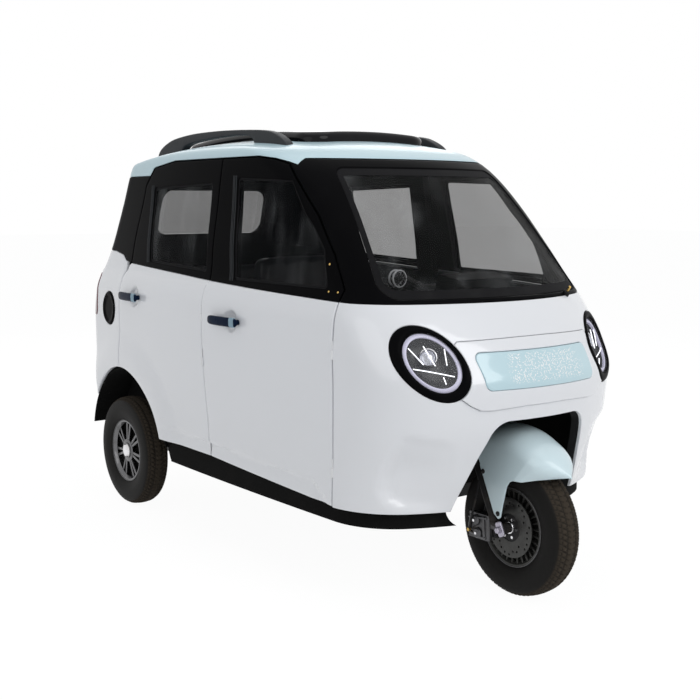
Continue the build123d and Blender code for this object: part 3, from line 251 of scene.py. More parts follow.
def inside(points: Array, loops: Sequence[Array], chunk: int = 2000) -> Array:
    """Whether each point is inside an odd number of closed outlines."""
    a = np.vstack(loops)
    b = np.vstack([np.roll(loop, -1, axis=0) for loop in loops])
    out = np.empty(len(points), bool)
    slope = (b[:, 0] - a[:, 0]) / np.where(b[:, 1] == a[:, 1], 1e-9, b[:, 1] - a[:, 1])
    for low in range(0, len(points), chunk):
        x, y = points[low:low + chunk, 0, None], points[low:low + chunk, 1, None]
        cross = (a[:, 1] > y) != (b[:, 1] > y)
        at = a[:, 0] + (y - a[:, 1]) * slope
        out[low:low + chunk] = (cross & (x < at)).sum(1) % 2 == 1
    return out


# ------------------------------------------------------------------- the skin
class Skin:
    """The smooth outside of the body, as five tangent arcs at every height."""

    def __init__(self) -> None:
        table = np.asarray(SECTIONS, float)
        self.heights, self.values = table[:, 0], table[:, 1:]
        self.slopes = monotone_slopes(self.heights, self.values)

    def row(self, z: Array) -> Array:
        """Section sizes at heights, by cubic pieces between the table's rows."""
        z = np.asarray(z, float)
        k = np.clip(np.searchsorted(self.heights, z) - 1, 0, len(self.heights) - 2)
        span = (self.heights[k + 1] - self.heights[k])[..., None]
        t = np.clip((z - self.heights[k])[..., None] / span, -0.6, 1.4)
        t2, t3 = t * t, t * t * t
        return ((2 * t3 - 3 * t2 + 1) * self.values[k] + (3 * t2 - 2 * t3) * self.values[k + 1]
                + span * ((t3 - 2 * t2 + t) * self.slopes[k] + (t3 - t2) * self.slopes[k + 1]))

    def arcs(self, z: Array) -> tuple[Array, Array, Array, Array, Array]:
        """Centres, radii, start angles, sweeps and lengths of the arcs, nose to tail."""
        nose_y, half, side, front, tail_y = np.moveaxis(self.row(z), -1, 0)
        zero = np.zeros_like(nose_y)
        nose_c = np.stack([zero, nose_y + NOSE_RADIUS], -1)
        tail_c = np.stack([zero, tail_y - TAIL_RADIUS], -1)
        side_c = np.stack([half - side, zero + WIDEST_Y], -1)
        rear = zero + REAR_CORNER_RADIUS
        front_c = self.tangent(nose_c, NOSE_RADIUS - front, side_c, side - front, -1)
        rear_c = self.tangent(tail_c, TAIL_RADIUS - rear, side_c, side - rear, 1)
        centres = np.stack([nose_c, front_c, side_c, rear_c, tail_c], -2)
        radii = np.stack([zero + NOSE_RADIUS, front, side, rear, zero + TAIL_RADIUS], -1)

        def heading(c_big: Array, c_small: Array) -> Array:
            d = c_small - c_big
            return np.arctan2(d[..., 1], d[..., 0])

        joints = [zero - pi / 2, heading(nose_c, front_c), heading(side_c, front_c),
                  heading(side_c, rear_c), heading(tail_c, rear_c), zero + pi / 2]
        joints = np.stack(joints, -1)
        sweeps = (joints[..., 1:] - joints[..., :-1] + pi) % tau - pi
        return centres, radii, joints[..., :-1], sweeps, radii * np.abs(sweeps)

    @staticmethod
    def tangent(ca: Array, ra: Array, cb: Array, rb: Array, way: int) -> Array:
        """Points at distances ra and rb from two centres, on the left, front or rear."""
        d = cb - ca
        span = np.hypot(d[..., 0], d[..., 1])
        along = (ra ** 2 - rb ** 2 + span ** 2) / (2 * span)
        off = np.sqrt(np.maximum(ra ** 2 - along ** 2, 0))
        mid = ca + d * (along / span)[..., None]
        turn = np.stack([-d[..., 1], d[..., 0]], -1) * (off / span)[..., None]
        first, second = mid + turn, mid - turn
        take = (first[..., 0] > 0) & ((second[..., 0] <= 0)
                                      | (way * first[..., 1] > way * second[..., 1]))
        return np.where(take[..., None], first, second)

    def place(self, n: Array, z: Array, inset: Array | float = 0.0) -> tuple[Array, Array]:
        """Points on the skin, or inside it, and the level outward directions.

        The point is c + (r - inset) * (cos a, sin a) on the arc that holds the
        share n of the way from the nose to the tail. A negative n is the right side.

        Args:
            n: Shares of the way round, -1 to 1.
            z: Heights.
            inset: Level distance inside the skin.

        Returns:
            Points and unit vectors, both (..., 3).
        """
        n, z = np.broadcast_arrays(np.asarray(n, float), np.asarray(z, float))
        share, sign = np.abs(n), np.where(n < 0, -1.0, 1.0)
        centres, radii, starts, sweeps, lengths = self.arcs(z)
        ends = np.cumsum(lengths, -1)
        way = np.clip(share, 0, 1) * ends[..., -1]
        k = np.clip((way[..., None] > ends).sum(-1), 0, 4)[..., None]

        def pick(a: Array) -> Array:
            return np.take_along_axis(a, k, -1)[..., 0]

        angle = pick(starts) + pick(sweeps) * (way - pick(ends) + pick(lengths)) / pick(lengths)
        centre = np.take_along_axis(centres, k[..., None], -2)[..., 0, :]
        level = np.stack([np.cos(angle), np.sin(angle)], -1)
        flat = centre + (pick(radii) - inset)[..., None] * level
        point = np.stack([flat[..., 0] * sign, flat[..., 1], z], -1)
        outward = np.stack([level[..., 0] * sign, level[..., 1], np.zeros_like(z)], -1)
        return point, outward

    def normal(self, n: Array, z: Array) -> Array:
        """Unit normals of the skin, from its slopes along the two parameters."""
        h = 1.5
        up = self.place(n, z + h)[0] - self.place(n, z - h)[0]
        _, out = self.place(n, z)
        along = np.stack([-out[..., 1], out[..., 0], np.zeros(out.shape[:-1])], -1)
        normal = np.cross(along, up)
        normal /= np.linalg.norm(normal, axis=-1)[..., None]
        return normal * np.sign((normal * out).sum(-1))[..., None]

    def share_of_y(self, y: Array, z: Array) -> Array:
        """Share of the way round at which the left side passes a station y."""
        grid = np.linspace(0.0, 1.0, 420)
        ys = self.place(grid[None, :], np.asarray(z, float)[:, None])[0][..., 1]
        return self.crossing(ys, np.asarray(y, float), grid)

    def share_of_x(self, x: Array, z: Array, tail: bool = False) -> Array:
        """Share of the way round at which the nose, or the tail, passes an x."""
        x = np.asarray(x, float)
        grid = np.linspace(0.0, 0.36, 320)
        grid = 1 - grid if tail else grid
        xs = self.place(grid[None, :], np.asarray(z, float)[:, None])[0][..., 0]
        xs = np.maximum.accumulate(xs + np.arange(len(grid)) * 1e-6, axis=1)
        return self.crossing(xs, np.abs(x), grid) * np.where(x < 0, -1.0, 1.0)

    @staticmethod
    def crossing(rows: Array, wanted: Array, grid: Array) -> Array:
        """Where each rising row passes a wanted value, between two grid places."""
        k = np.clip((rows < wanted[:, None]).sum(1), 1, rows.shape[1] - 1)
        pick = np.arange(len(rows))
        low, high = rows[pick, k - 1], rows[pick, k]
        t = np.clip((wanted - low) / np.maximum(high - low, 1e-9), 0, 1)
        return grid[k - 1] + t * (grid[k] - grid[k - 1])

    def dome(self, x: Array, y: Array, drop: float = 0.0) -> Array:
        """Height of the roof's dome: a long arc carried across a flatter one."""
        sag = x * x / (2 * CROWN_CROSS_RADIUS)
        reach = CROWN_LONG_RADIUS - sag
        return (CROWN_Z - drop - CROWN_LONG_RADIUS
                + np.sqrt(reach ** 2 - (y - CROWN_Y) ** 2))


SKIN = Skin()


def side_points(outline: Array) -> Array:
    """Domain points of a (y, z) outline on the left side."""
    p = np.asarray(outline, float)
    return np.stack([SKIN.share_of_y(p[:, 0], p[:, 1]) * AROUND, p[:, 1]], 1)


def front_points(outline: Array) -> Array:
    """Domain points of an (x, z) outline on the nose."""
    p = np.asarray(outline, float)
    return np.stack([SKIN.share_of_x(p[:, 0], p[:, 1]) * AROUND, p[:, 1]], 1)


def tail_points(outline: Array) -> Array:
    """Domain points of an (x, z) outline on the tail, counted from its middle."""
    p = np.asarray(outline, float)
    share = SKIN.share_of_x(p[:, 0], p[:, 1], tail=True)
    return np.stack([(np.abs(share) - 1) * np.sign(share) * AROUND, p[:, 1]], 1)


# -------------------------------------------------------------------- meshing
@dataclass
class Net:
    """A triangulated flat region: points, triangles, border loops and edge distance."""

    points: Array
    faces: Array
    loops: list[Array]
    edge: Array


def flat_net(loops: Sequence[Array], step: float, rings: Sequence[float] = (0.8, 2.0, 3.4, 5.0)
             ) -> Net:
    """Triangulates the region between closed outlines.

    Points stand on the outlines, on rings a little inside them, and on a square
    grid in the rest. The triangles are those of a constrained Delaunay net whose
    centres lie inside.

    Args:
        loops: The outer outline and the holes, in domain millimetres.
        step: Spacing of the grid.
        rings: Distances of the rings from the outlines.

    Returns:
        The net, its faces counter-clockwise.
    """
    loops = [dense(loop, step * 0.6) for loop in loops]
    sets = [np.vstack(loops)]
    for depth in rings:
        moved = np.vstack([ring_at(loop, sign * depth) for loop in loops for sign in (1, -1)])
        good = inside(moved, loops) & (segment_distance(moved, loops) > depth * 0.93)
        sets.append(moved[good])
    low, high = sets[0].min(0), sets[0].max(0)
    gx, gy = np.meshgrid(np.arange(low[0], high[0], step), np.arange(low[1], high[1], step))
    grid = np.stack([gx.ravel(), gy.ravel()], 1)
    grid = grid[inside(grid, loops)]
    grid = grid[segment_distance(grid, loops) > (rings[-1] if rings else 0) + step * 0.5]
    points = np.vstack(sets + [grid])
    edges, start = [], 0
    for loop in loops:
        index = np.arange(len(loop)) + start
        edges += list(zip(index.tolist(), np.roll(index, -1).tolist()))
        start += len(loop)
    verts, _, faces, origin, _, _ = delaunay_2d_cdt(
        [Vector(p) for p in points.tolist()], edges, [], 0, 1e-5, True)
    out = np.array([(v.x, v.y) for v in verts])
    tris = np.array([f for f in faces if len(f) == 3])
    tris = tris[inside(out[tris].mean(1), loops)]
    a, b, c = out[tris[:, 0]], out[tris[:, 1]], out[tris[:, 2]]
    area = (b - a)[:, 0] * (c - a)[:, 1] - (b - a)[:, 1] * (c - a)[:, 0]
    tris[area < 0] = tris[area < 0][:, ::-1]
    tris = tris[np.abs(area) > 1e-7]
    where = np.empty(len(points), int)
    for new, olds in enumerate(origin):
        where[olds] = new
    borders, start = [], 0
    for loop in loops:
        borders.append(where[start:start + len(loop)])
        start += len(loop)
    used = np.unique(tris)
    renumber = np.full(len(out), -1)
    renumber[used] = np.arange(len(used))
    return Net(out[used], renumber[tris], [renumber[b] for b in borders],
               segment_distance(out[used], loops))


def ring_at(loop: Array, depth: float) -> Array:
    """Points of a closed outline moved square to it by a depth."""
    way = np.roll(loop, -1, axis=0) - np.roll(loop, 1, axis=0)
    way /= np.maximum(np.linalg.norm(way, axis=1), 1e-9)[:, None]
    return loop + depth * np.stack([-way[:, 1], way[:, 0]], 1)


def rolled(edge: Array, radius: float) -> Array:
    """Drop of a rounded edge: r - sqrt(r^2 - (r - d)^2) at a distance d from it."""
    near = np.clip(radius - edge, 0, radius)
    return radius - np.sqrt(np.maximum(radius ** 2 - near ** 2, 0))


@dataclass
class Mesh:
    """Points in millimetres and faces; the last faces may be an unpainted inside."""

    points: Array
    faces: list[tuple[int, ...]]
    lining: int = 0

    def plus(self, other: Mesh) -> Mesh:
        """Both meshes as one, not welded."""
        shift = len(self.points)
        return Mesh(np.vstack([self.points, other.points]),
                    self.faces + [tuple(i + shift for i in f) for f in other.faces])

    def mirrored(self) -> Mesh:
        """The same mesh on the right side, its faces still outwards."""
        return Mesh(self.points * (-1, 1, 1), [tuple(reversed(f)) for f in self.faces],
                    self.lining)


def sheet_mesh(net: Net, front: Array, back: Array, lip: float = 0.2) -> Mesh:
    """Closed solid between two copies of a net.

    Args:
        net: The net that both sides follow.
        front: Its points on the outer side.
        back: Its points on the inner side.
        lip: Share of the wall that belongs to the outer side.

    Returns:
        The outer faces and the walls' outer strips, then the lining: the walls'
        inner strips and the inner faces reversed.
    """
    count = len(net.points)
    outer = [tuple(f) for f in net.faces.tolist()]
    lining = [tuple(f) for f in (net.faces[:, ::-1] + count).tolist()]
    known = set()
    for a, b, c in net.faces.tolist():
        known.update(((a, b), (b, c), (c, a)))
    points = [front, back]
    start = 2 * count
    for loop in net.loops:
        ring = loop[loop >= 0]
        size = len(ring)
        points.append(front[ring] * (1 - lip) + back[ring] * lip)
        for k, a in enumerate(ring.tolist()):
            b = int(ring[(k + 1) % size])
            m, n = start + k, start + (k + 1) % size
            if (a, b) not in known:
                a, b, m, n = b, a, n, m
            if (a, b) in known:
                outer.append((b, a, m, n))
                lining.append((n, m, a + count, b + count))
        start += size
    return Mesh(np.vstack(points), outer + lining, len(lining))


def grid_faces(rows: int, columns: int, close_rows: bool = False, close_columns: bool = False,
               flip: bool = False) -> list[tuple[int, ...]]:
    """Four-sided faces of a grid of points stored row by row."""
    r = np.arange(rows if close_rows else rows - 1)
    c = np.arange(columns if close_columns else columns - 1)
    rr, cc = np.meshgrid(r, c, indexing="ij")
    a, b = rr * columns + cc, rr * columns + (cc + 1) % columns
    d, e = (rr + 1) % rows * columns + (cc + 1) % columns, (rr + 1) % rows * columns + cc
    quads = np.stack([a, b, d, e], -1).reshape(-1, 4)
    quads = quads[:, ::-1] if flip else quads
    return [tuple(q) for q in quads.tolist()]


# --------------------------------------------------------------- into Blender
class Slot(Enum):
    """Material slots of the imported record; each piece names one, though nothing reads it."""

    WHITE = "white_paint"
    BLUE = "blue_paint"
    BLACK_GLOSS = "black_gloss"
    GLASS = "tinted_glass"
    LAMP = "lamp_lens"
    TAIL = "tail_lens"
    PLASTIC = "black_plastic"
    HANDLE = "handle_blue"
    RAIL = "rail_grey"
    STEEL = "black_steel"
    BRIGHT = "bright_metal"
    ALLOY = "wheel_alloy"
    TYRE = "tyre"
    SEAT = "seat_cover"


class Side(Enum):
    """Left is +X, right is its mirror image."""

    LEFT = 1
    RIGHT = -1

    @property
    def word(self) -> str:
        """The side's name in lower case."""
        return self.name.lower()

    def of(self, mesh: Mesh) -> Mesh:
        """A left-hand mesh on this side."""
        return mesh if self is Side.LEFT else mesh.mirrored()


def linked(name: str, data: bpy.types.ID) -> bpy.types.Object:
    """A new object in the scene."""
    obj = bpy.data.objects.new(name, data)
    bpy.context.scene.collection.objects.link(obj)
    return obj


def make_object(name: str, mesh: Mesh, material: bpy.types.Material, slot: Slot, body: str,
                replaces: Iterable[str] = (), smooth: float = 35.0,
                lining: bpy.types.Material | None = None) -> bpy.types.Object:
    """Puts a mesh into the scene as one piece.

    Args:
        name: The piece's plain name.
        mesh: Its points in millimetres and its faces.
        material: The finish.
        slot: The record's material slot; not used.
        body: The moving body it rides on.
        replaces: CAD nodes that it stands for.
        smooth: Edges sharper than this many degrees stay sharp.
        lining: Finish of the mesh's unpainted inside.

    Returns:
        The new object.
    """
    data = bpy.data.meshes.new(name)
    data.from_pydata((mesh.points * MM).tolist(), [], mesh.faces)
    data.materials.append(material)
    if lining and mesh.lining:
        data.materials.append(lining)
        which = np.zeros(len(mesh.faces), np.int32)
        which[-mesh.lining:] = 1
        data.polygons.foreach_set("material_index", which)
    data.validate(clean_customdata=False)
    obj = linked(name, data)
    shade(obj, smooth)
    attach(obj, body)
    if replaces:
        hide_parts(*replaces)
    LOG.info("%s: %d faces on %s", name, len(data.polygons), body)
    return obj


def shade(obj: bpy.types.Object, degrees_sharp: float) -> None:
    """Smooth shading with sharp edges above an angle."""
    obj.data.shade_smooth()
    obj.data.set_sharp_from_angle(angle=radians(degrees_sharp))


# --------------------------------------------------------------------- shaders
class Val:
    """A shader socket that takes part in Python arithmetic through Math nodes."""

    def __init__(self, tree: Tree, socket: bpy.types.NodeSocket) -> None:
        self.tree, self.socket = tree, socket

    def _math(self, kind: str, *values: object) -> Val:
        return self.tree.node("ShaderNodeMath", {"operation": kind}, *values)

    def __add__(self, other: object) -> Val:
        return self._math("ADD", self, other)

    def __radd__(self, other: object) -> Val:
        return self._math("ADD", other, self)

    def __sub__(self, other: object) -> Val:
        return self._math("SUBTRACT", self, other)

    def __rsub__(self, other: object) -> Val:
        return self._math("SUBTRACT", other, self)

    def __mul__(self, other: object) -> Val:
        return self._math("MULTIPLY", self, other)

    def __rmul__(self, other: object) -> Val:
        return self._math("MULTIPLY", other, self)

    def band(self, low: float, high: float) -> Val:
        """0 below low, 1 above high, smooth between them."""
        return self.tree.node("ShaderNodeMapRange", {"interpolation_type": "SMOOTHSTEP"},
                              self, low, high, 0.0, 1.0)


Colour = tuple[float, float, float]
WHITE = (1.0, 1.0, 1.0, 1.0)


MIX_SHARE, MIX_FIRST, MIX_SECOND, MIX_RESULT = 0, 6, 7, 2    # colour sockets of a Mix node


class Tree:
    """A node tree that is filled by short calls."""

    def __init__(self, tree: bpy.types.NodeTree) -> None:
        self.nodes, self.links = tree.nodes, tree.links

    def node(self, kind: str, settings: dict[str, object], *inputs: object,
             output: int | str = 0, **named: object) -> Val:
        """Adds a node.

        Args:
            kind: Its type.
            settings: Properties that are set first.
            inputs: Values or links of its sockets in order.
            output: Which socket to return.
            named: Values or links by socket name, with _ for a space.

        Returns:
            The chosen output socket.
        """
        node = self.nodes.new(kind)
        for key, value in settings.items():
            setattr(node, key, value)
        pairs = list(zip(node.inputs, inputs))
        pairs += [(node.inputs[key.replace("_", " ")], value) for key, value in named.items()]
        for socket, value in pairs:
            self.feed(socket, value)
        return Val(self, node.outputs[output])

    def feed(self, socket: bpy.types.NodeSocket, value: object) -> None:
        """Links or sets a socket."""
        if isinstance(value, Val):
            self.links.new(value.socket, socket)
        elif value is not None:
            socket.default_value = value

    def rays(self, *kinds: str) -> Val:
        """1 for rays of the named kinds, 0 for all others."""
        path = self.nodes.new("ShaderNodeLightPath")
        first, *rest = (Val(self, path.outputs[f"Is {kind} Ray"]) for kind in kinds)
        for value in rest:
            first = self.node("ShaderNodeMath", {"operation": "MAXIMUM"}, first, value)
        return first


class Shader(Tree):
    """One material and the nodes that feed its Principled shader."""

    def __init__(self, name: str, base: Colour, roughness: float, **fixed: object) -> None:
        self.material = bpy.data.materials.new(name)
        self.material.use_nodes = True
        super().__init__(self.material.node_tree)
        self.principled = self.nodes["Principled BSDF"]
        self.set("Base Color", (*base, 1.0))
        self.set("Roughness", roughness)
        for key, value in fixed.items():
            self.set(key.replace("_", " ").title().replace("Ior", "IOR"), value)

    def set(self, name: str, value: object) -> None:
        """Links or sets a socket of the Principled shader."""
        self.feed(self.principled.inputs[name], value)

    def place(self) -> Val:
        """Object coordinates, in metres."""
        return self.node("ShaderNodeTexCoord", {}, output="Object")

    def attribute(self, name: str) -> Val:
        """A number stored on the mesh's points."""
        return self.node("ShaderNodeAttribute", {"attribute_name": name}, output="Fac")

    def scaled(self, by: Sequence[float], vector: Val | None = None) -> Val:
        """Coordinates multiplied axis by axis."""
        return self.node("ShaderNodeVectorMath", {"operation": "MULTIPLY"},
                         vector or self.place(), tuple(by))

    def axes(self, vector: Val | None = None) -> list[Val]:
        """The three numbers of a vector, each once."""
        node = self.nodes.new("ShaderNodeSeparateXYZ")
        self.feed(node.inputs[0], vector or self.place())
        return [Val(self, socket) for socket in node.outputs]

    def noise(self, scale: float, detail: float = 3.0, rough: float = 0.5,
              vector: Val | None = None) -> Val:
        """Cloudy noise, 0 to 1, with features 1 / scale metres wide."""
        return self.node("ShaderNodeTexNoise", {}, output="Fac", Vector=vector or self.place(),
                         Scale=scale, Detail=detail, Roughness=rough)

    def cells(self, scale: float, feature: str = "F1", vector: Val | None = None) -> Val:
        """Distance to the nearest of scattered points."""
        return self.node("ShaderNodeTexVoronoi", {"feature": feature}, output="Distance",
                         Vector=vector or self.place(), Scale=scale)

    def mix(self, share: object, first: object, second: object) -> Val:
        """Colour between two, by a share from 0 to 1."""
        def as_colour(value: object) -> object:
            return (*value, 1.0) if isinstance(value, tuple) and len(value) == 3 else value
        node = self.nodes.new("ShaderNodeMix")
        node.data_type = "RGBA"
        self.feed(node.inputs[MIX_SHARE], share)
        self.feed(node.inputs[MIX_FIRST], as_colour(first))
        self.feed(node.inputs[MIX_SECOND], as_colour(second))
        return Val(self, node.outputs[MIX_RESULT])

    def bump(self, height: Val, distance: float, strength: float = 1.0) -> None:
        """Raises the surface by a height map times a distance in metres."""
        normal = self.node("ShaderNodeBump", {}, Strength=strength, Distance=distance,
                           Height=height)
        self.set("Normal", normal)


@dataclass(frozen=True)
class Paint:
    """Glossy car paint: clear coat over colour, with dust and a faint ripple."""

    name: str
    colour: Colour
    dust: Colour = (0.78, 0.77, 0.75)
    dust_share: float = 0.10
    roughness: float = 0.32
    coat: float = 0.85

    def build(self) -> bpy.types.Material:
        """Makes the material."""
        s = Shader(self.name, self.colour, self.roughness, coat_weight=self.coat,
                   coat_roughness=0.04, specular_ior_level=0.45)
        cloud = s.noise(5.0, 4.0)
        low = s.axes()[2].band(0.75, 0.30)
        soiled = (cloud.band(0.45, 0.8) * 0.35 + low * 0.65) * self.dust_share
        s.set("Base Color", s.mix(soiled, self.colour, self.dust))
        s.set("Roughness", self.roughness + soiled * 1.2 + s.noise(60.0, 2.0) * 0.03)
        s.bump(s.noise(420.0, 1.0), 0.00002, 0.35)
        return s.material


@dataclass(frozen=True)
class Plastic:
    """Moulded plastic: fine leather grain or gloss, with scuffs and dust."""

    name: str
    colour: Colour
    roughness: float
    grain: float = 0.00012
    grain_scale: float = 700.0
    dust: Colour = (0.16, 0.15, 0.14)
    dust_share: float = 0.35
    coat: float = 0.0
    specular: float = 0.35

    def build(self) -> bpy.types.Material:
        """Makes the material."""
        s = Shader(self.name, self.colour, self.roughness, coat_weight=self.coat,
                   coat_roughness=0.05, specular_ior_level=self.specular)
        dusty = s.noise(9.0, 5.0, 0.6).band(0.42, 0.85) * self.dust_share
        s.set("Base Color", s.mix(dusty, self.colour, self.dust))
        s.set("Roughness", self.roughness + dusty * 0.4)
        s.bump(s.cells(self.grain_scale) + s.noise(90.0) * 0.4, self.grain)
        return s.material


@dataclass(frozen=True)
class Metal:
    """Painted, cast or polished metal with fine grain and grime in patches."""

    name: str
    colour: Colour
    roughness: float
    metallic: float = 1.0
    grime: Colour = (0.10, 0.085, 0.07)
    grime_share: float = 0.4
    cast: float = 0.0001
    specular: float = 0.5

    def build(self) -> bpy.types.Material:
        """Makes the material."""
        s = Shader(self.name, self.colour, self.roughness, metallic=self.metallic,
                   specular_ior_level=self.specular)
        patch = s.noise(18.0, 6.0, 0.65).band(0.40, 0.80) * self.grime_share
        s.set("Base Color", s.mix(patch, self.colour, self.grime))
        s.set("Roughness", self.roughness + patch * 0.5)
        s.set("Metallic", self.metallic * (1.0 - patch * 0.8))
        s.bump(s.noise(900.0, 2.0), self.cast)
        return s.material


@dataclass(frozen=True)
class Glazing:
    """Clear or tinted glass, see-through by its alpha, with wiped haze."""

    name: str
    colour: Colour
    alpha: float
    roughness: float = 0.03
    haze: float = 0.06
    shine: float = 0.12

    def build(self) -> bpy.types.Material:
        """Makes the material."""
        s = Shader(self.name, self.colour, self.roughness, alpha=self.alpha,
                   specular_ior_level=self.shine)
        smear = s.noise(7.0, 4.0, 0.6, s.scaled((1.0, 1.0, 0.25))).band(0.45, 0.85)
        s.set("Alpha", self.alpha + smear * self.haze)
        s.set("Roughness", self.roughness + smear * 0.05)
        s.set("Base Color", s.mix(smear * 0.25, self.colour, (0.75, 0.78, 0.80)))
        return s.material


@dataclass(frozen=True)
class Glow:
    """A light guide or diode strip, bright by itself and a little uneven."""

    name: str
    colour: Colour
    strength: float

    def build(self) -> bpy.types.Material:
        """Makes the material."""
        s = Shader(self.name, self.colour, 0.25, emission_strength=self.strength)
        spots = s.noise(240.0, 1.0)
        s.set("Emission Color", s.mix(spots * 0.3, self.colour, (0.55, 0.55, 0.68)))
        s.set("Base Color", s.mix(spots * 0.3, self.colour, (0.6, 0.6, 0.7)))
        return s.material


@dataclass(frozen=True)
class Rubber:
    """Tyre rubber: brown dust on the tread blocks, painted shade in the cut grooves, darker on the
    wall, fine grain.
    """

    name: str = "tyre rubber"
    wall: Colour = (0.0085, 0.008, 0.0075)
    tread: Colour = (0.050, 0.040, 0.030)

    def build(self) -> bpy.types.Material:
        """Makes the material; the mesh stores how far out a point is as tread, less in the cut
        grooves, which paints shade into them.
        """
        s = Shader(self.name, self.wall, 0.72, specular_ior_level=0.12)
        share = s.attribute("tread") * (0.55 + s.noise(38.0, 5.0, 0.6) * 0.9)
        s.set("Base Color", s.mix(share, self.wall, self.tread))
        s.set("Roughness", 0.62 + share * 0.3)
        s.bump(s.noise(520.0, 3.0) + s.cells(260.0) * 0.3, 0.0004)
        return s.material


@dataclass(frozen=True)
class Upholstery:
    """Artificial leather under thin clear film: grain, creases and a gloss."""

    name: str
    colour: Colour
    film: float = 0.5

    def build(self) -> bpy.types.Material:
        """Makes the material."""
        s = Shader(self.name, self.colour, 0.42, coat_weight=self.film,
                   coat_roughness=0.12, sheen_weight=0.05)
        crease = s.noise(16.0, 6.0, 0.62)
        grain = s.cells(480.0)
        s.set("Base Color", s.mix(crease.band(0.35, 0.8) * 0.4, self.colour,
                                  tuple(min(1.0, c * 2.4 + 0.02) for c in self.colour)))
        s.set("Roughness", 0.34 + grain * 0.25)
        s.bump(crease * 3.0 + grain * 0.25, 0.0011, 0.8)
        return s.material


@dataclass(frozen=True)
class GrillePaint:
    """Pale blue panel with scattered small white marks in its middle field."""

    name: str = "grille panel paint"
    colour: Colour = (0.520, 0.710, 0.775)
    marks: Colour = (0.97, 0.97, 0.97)
    field: tuple[float, float, float, float] = (-0.165, 0.200, 0.722, 0.820)

    def build(self) -> bpy.types.Material:
        """Makes the material."""
        s = Shader(self.name, self.colour, 0.3, coat_weight=0.8, coat_roughness=0.05)
        x, _, z = s.axes()
        left, right, low, high = self.field
        edge = s.noise(35.0, 2.0) * 0.05 - 0.025
        area = ((x + edge).band(left, left + 0.05) * (x + edge).band(right, right - 0.05)
                * z.band(low, low + 0.012) * z.band(high, high - 0.012))
        spots = s.cells(185.0, vector=s.scaled((1.0, 0.0, 1.0)))
        mark = spots.band(0.42, 0.30) * area * s.noise(200.0, 1.0).band(0.30, 0.42)
        s.set("Base Color", s.mix(mark, self.colour, self.marks))
        s.set("Roughness", 0.3 + mark * 0.25)
        s.bump(mark, 0.0002)
        return s.material


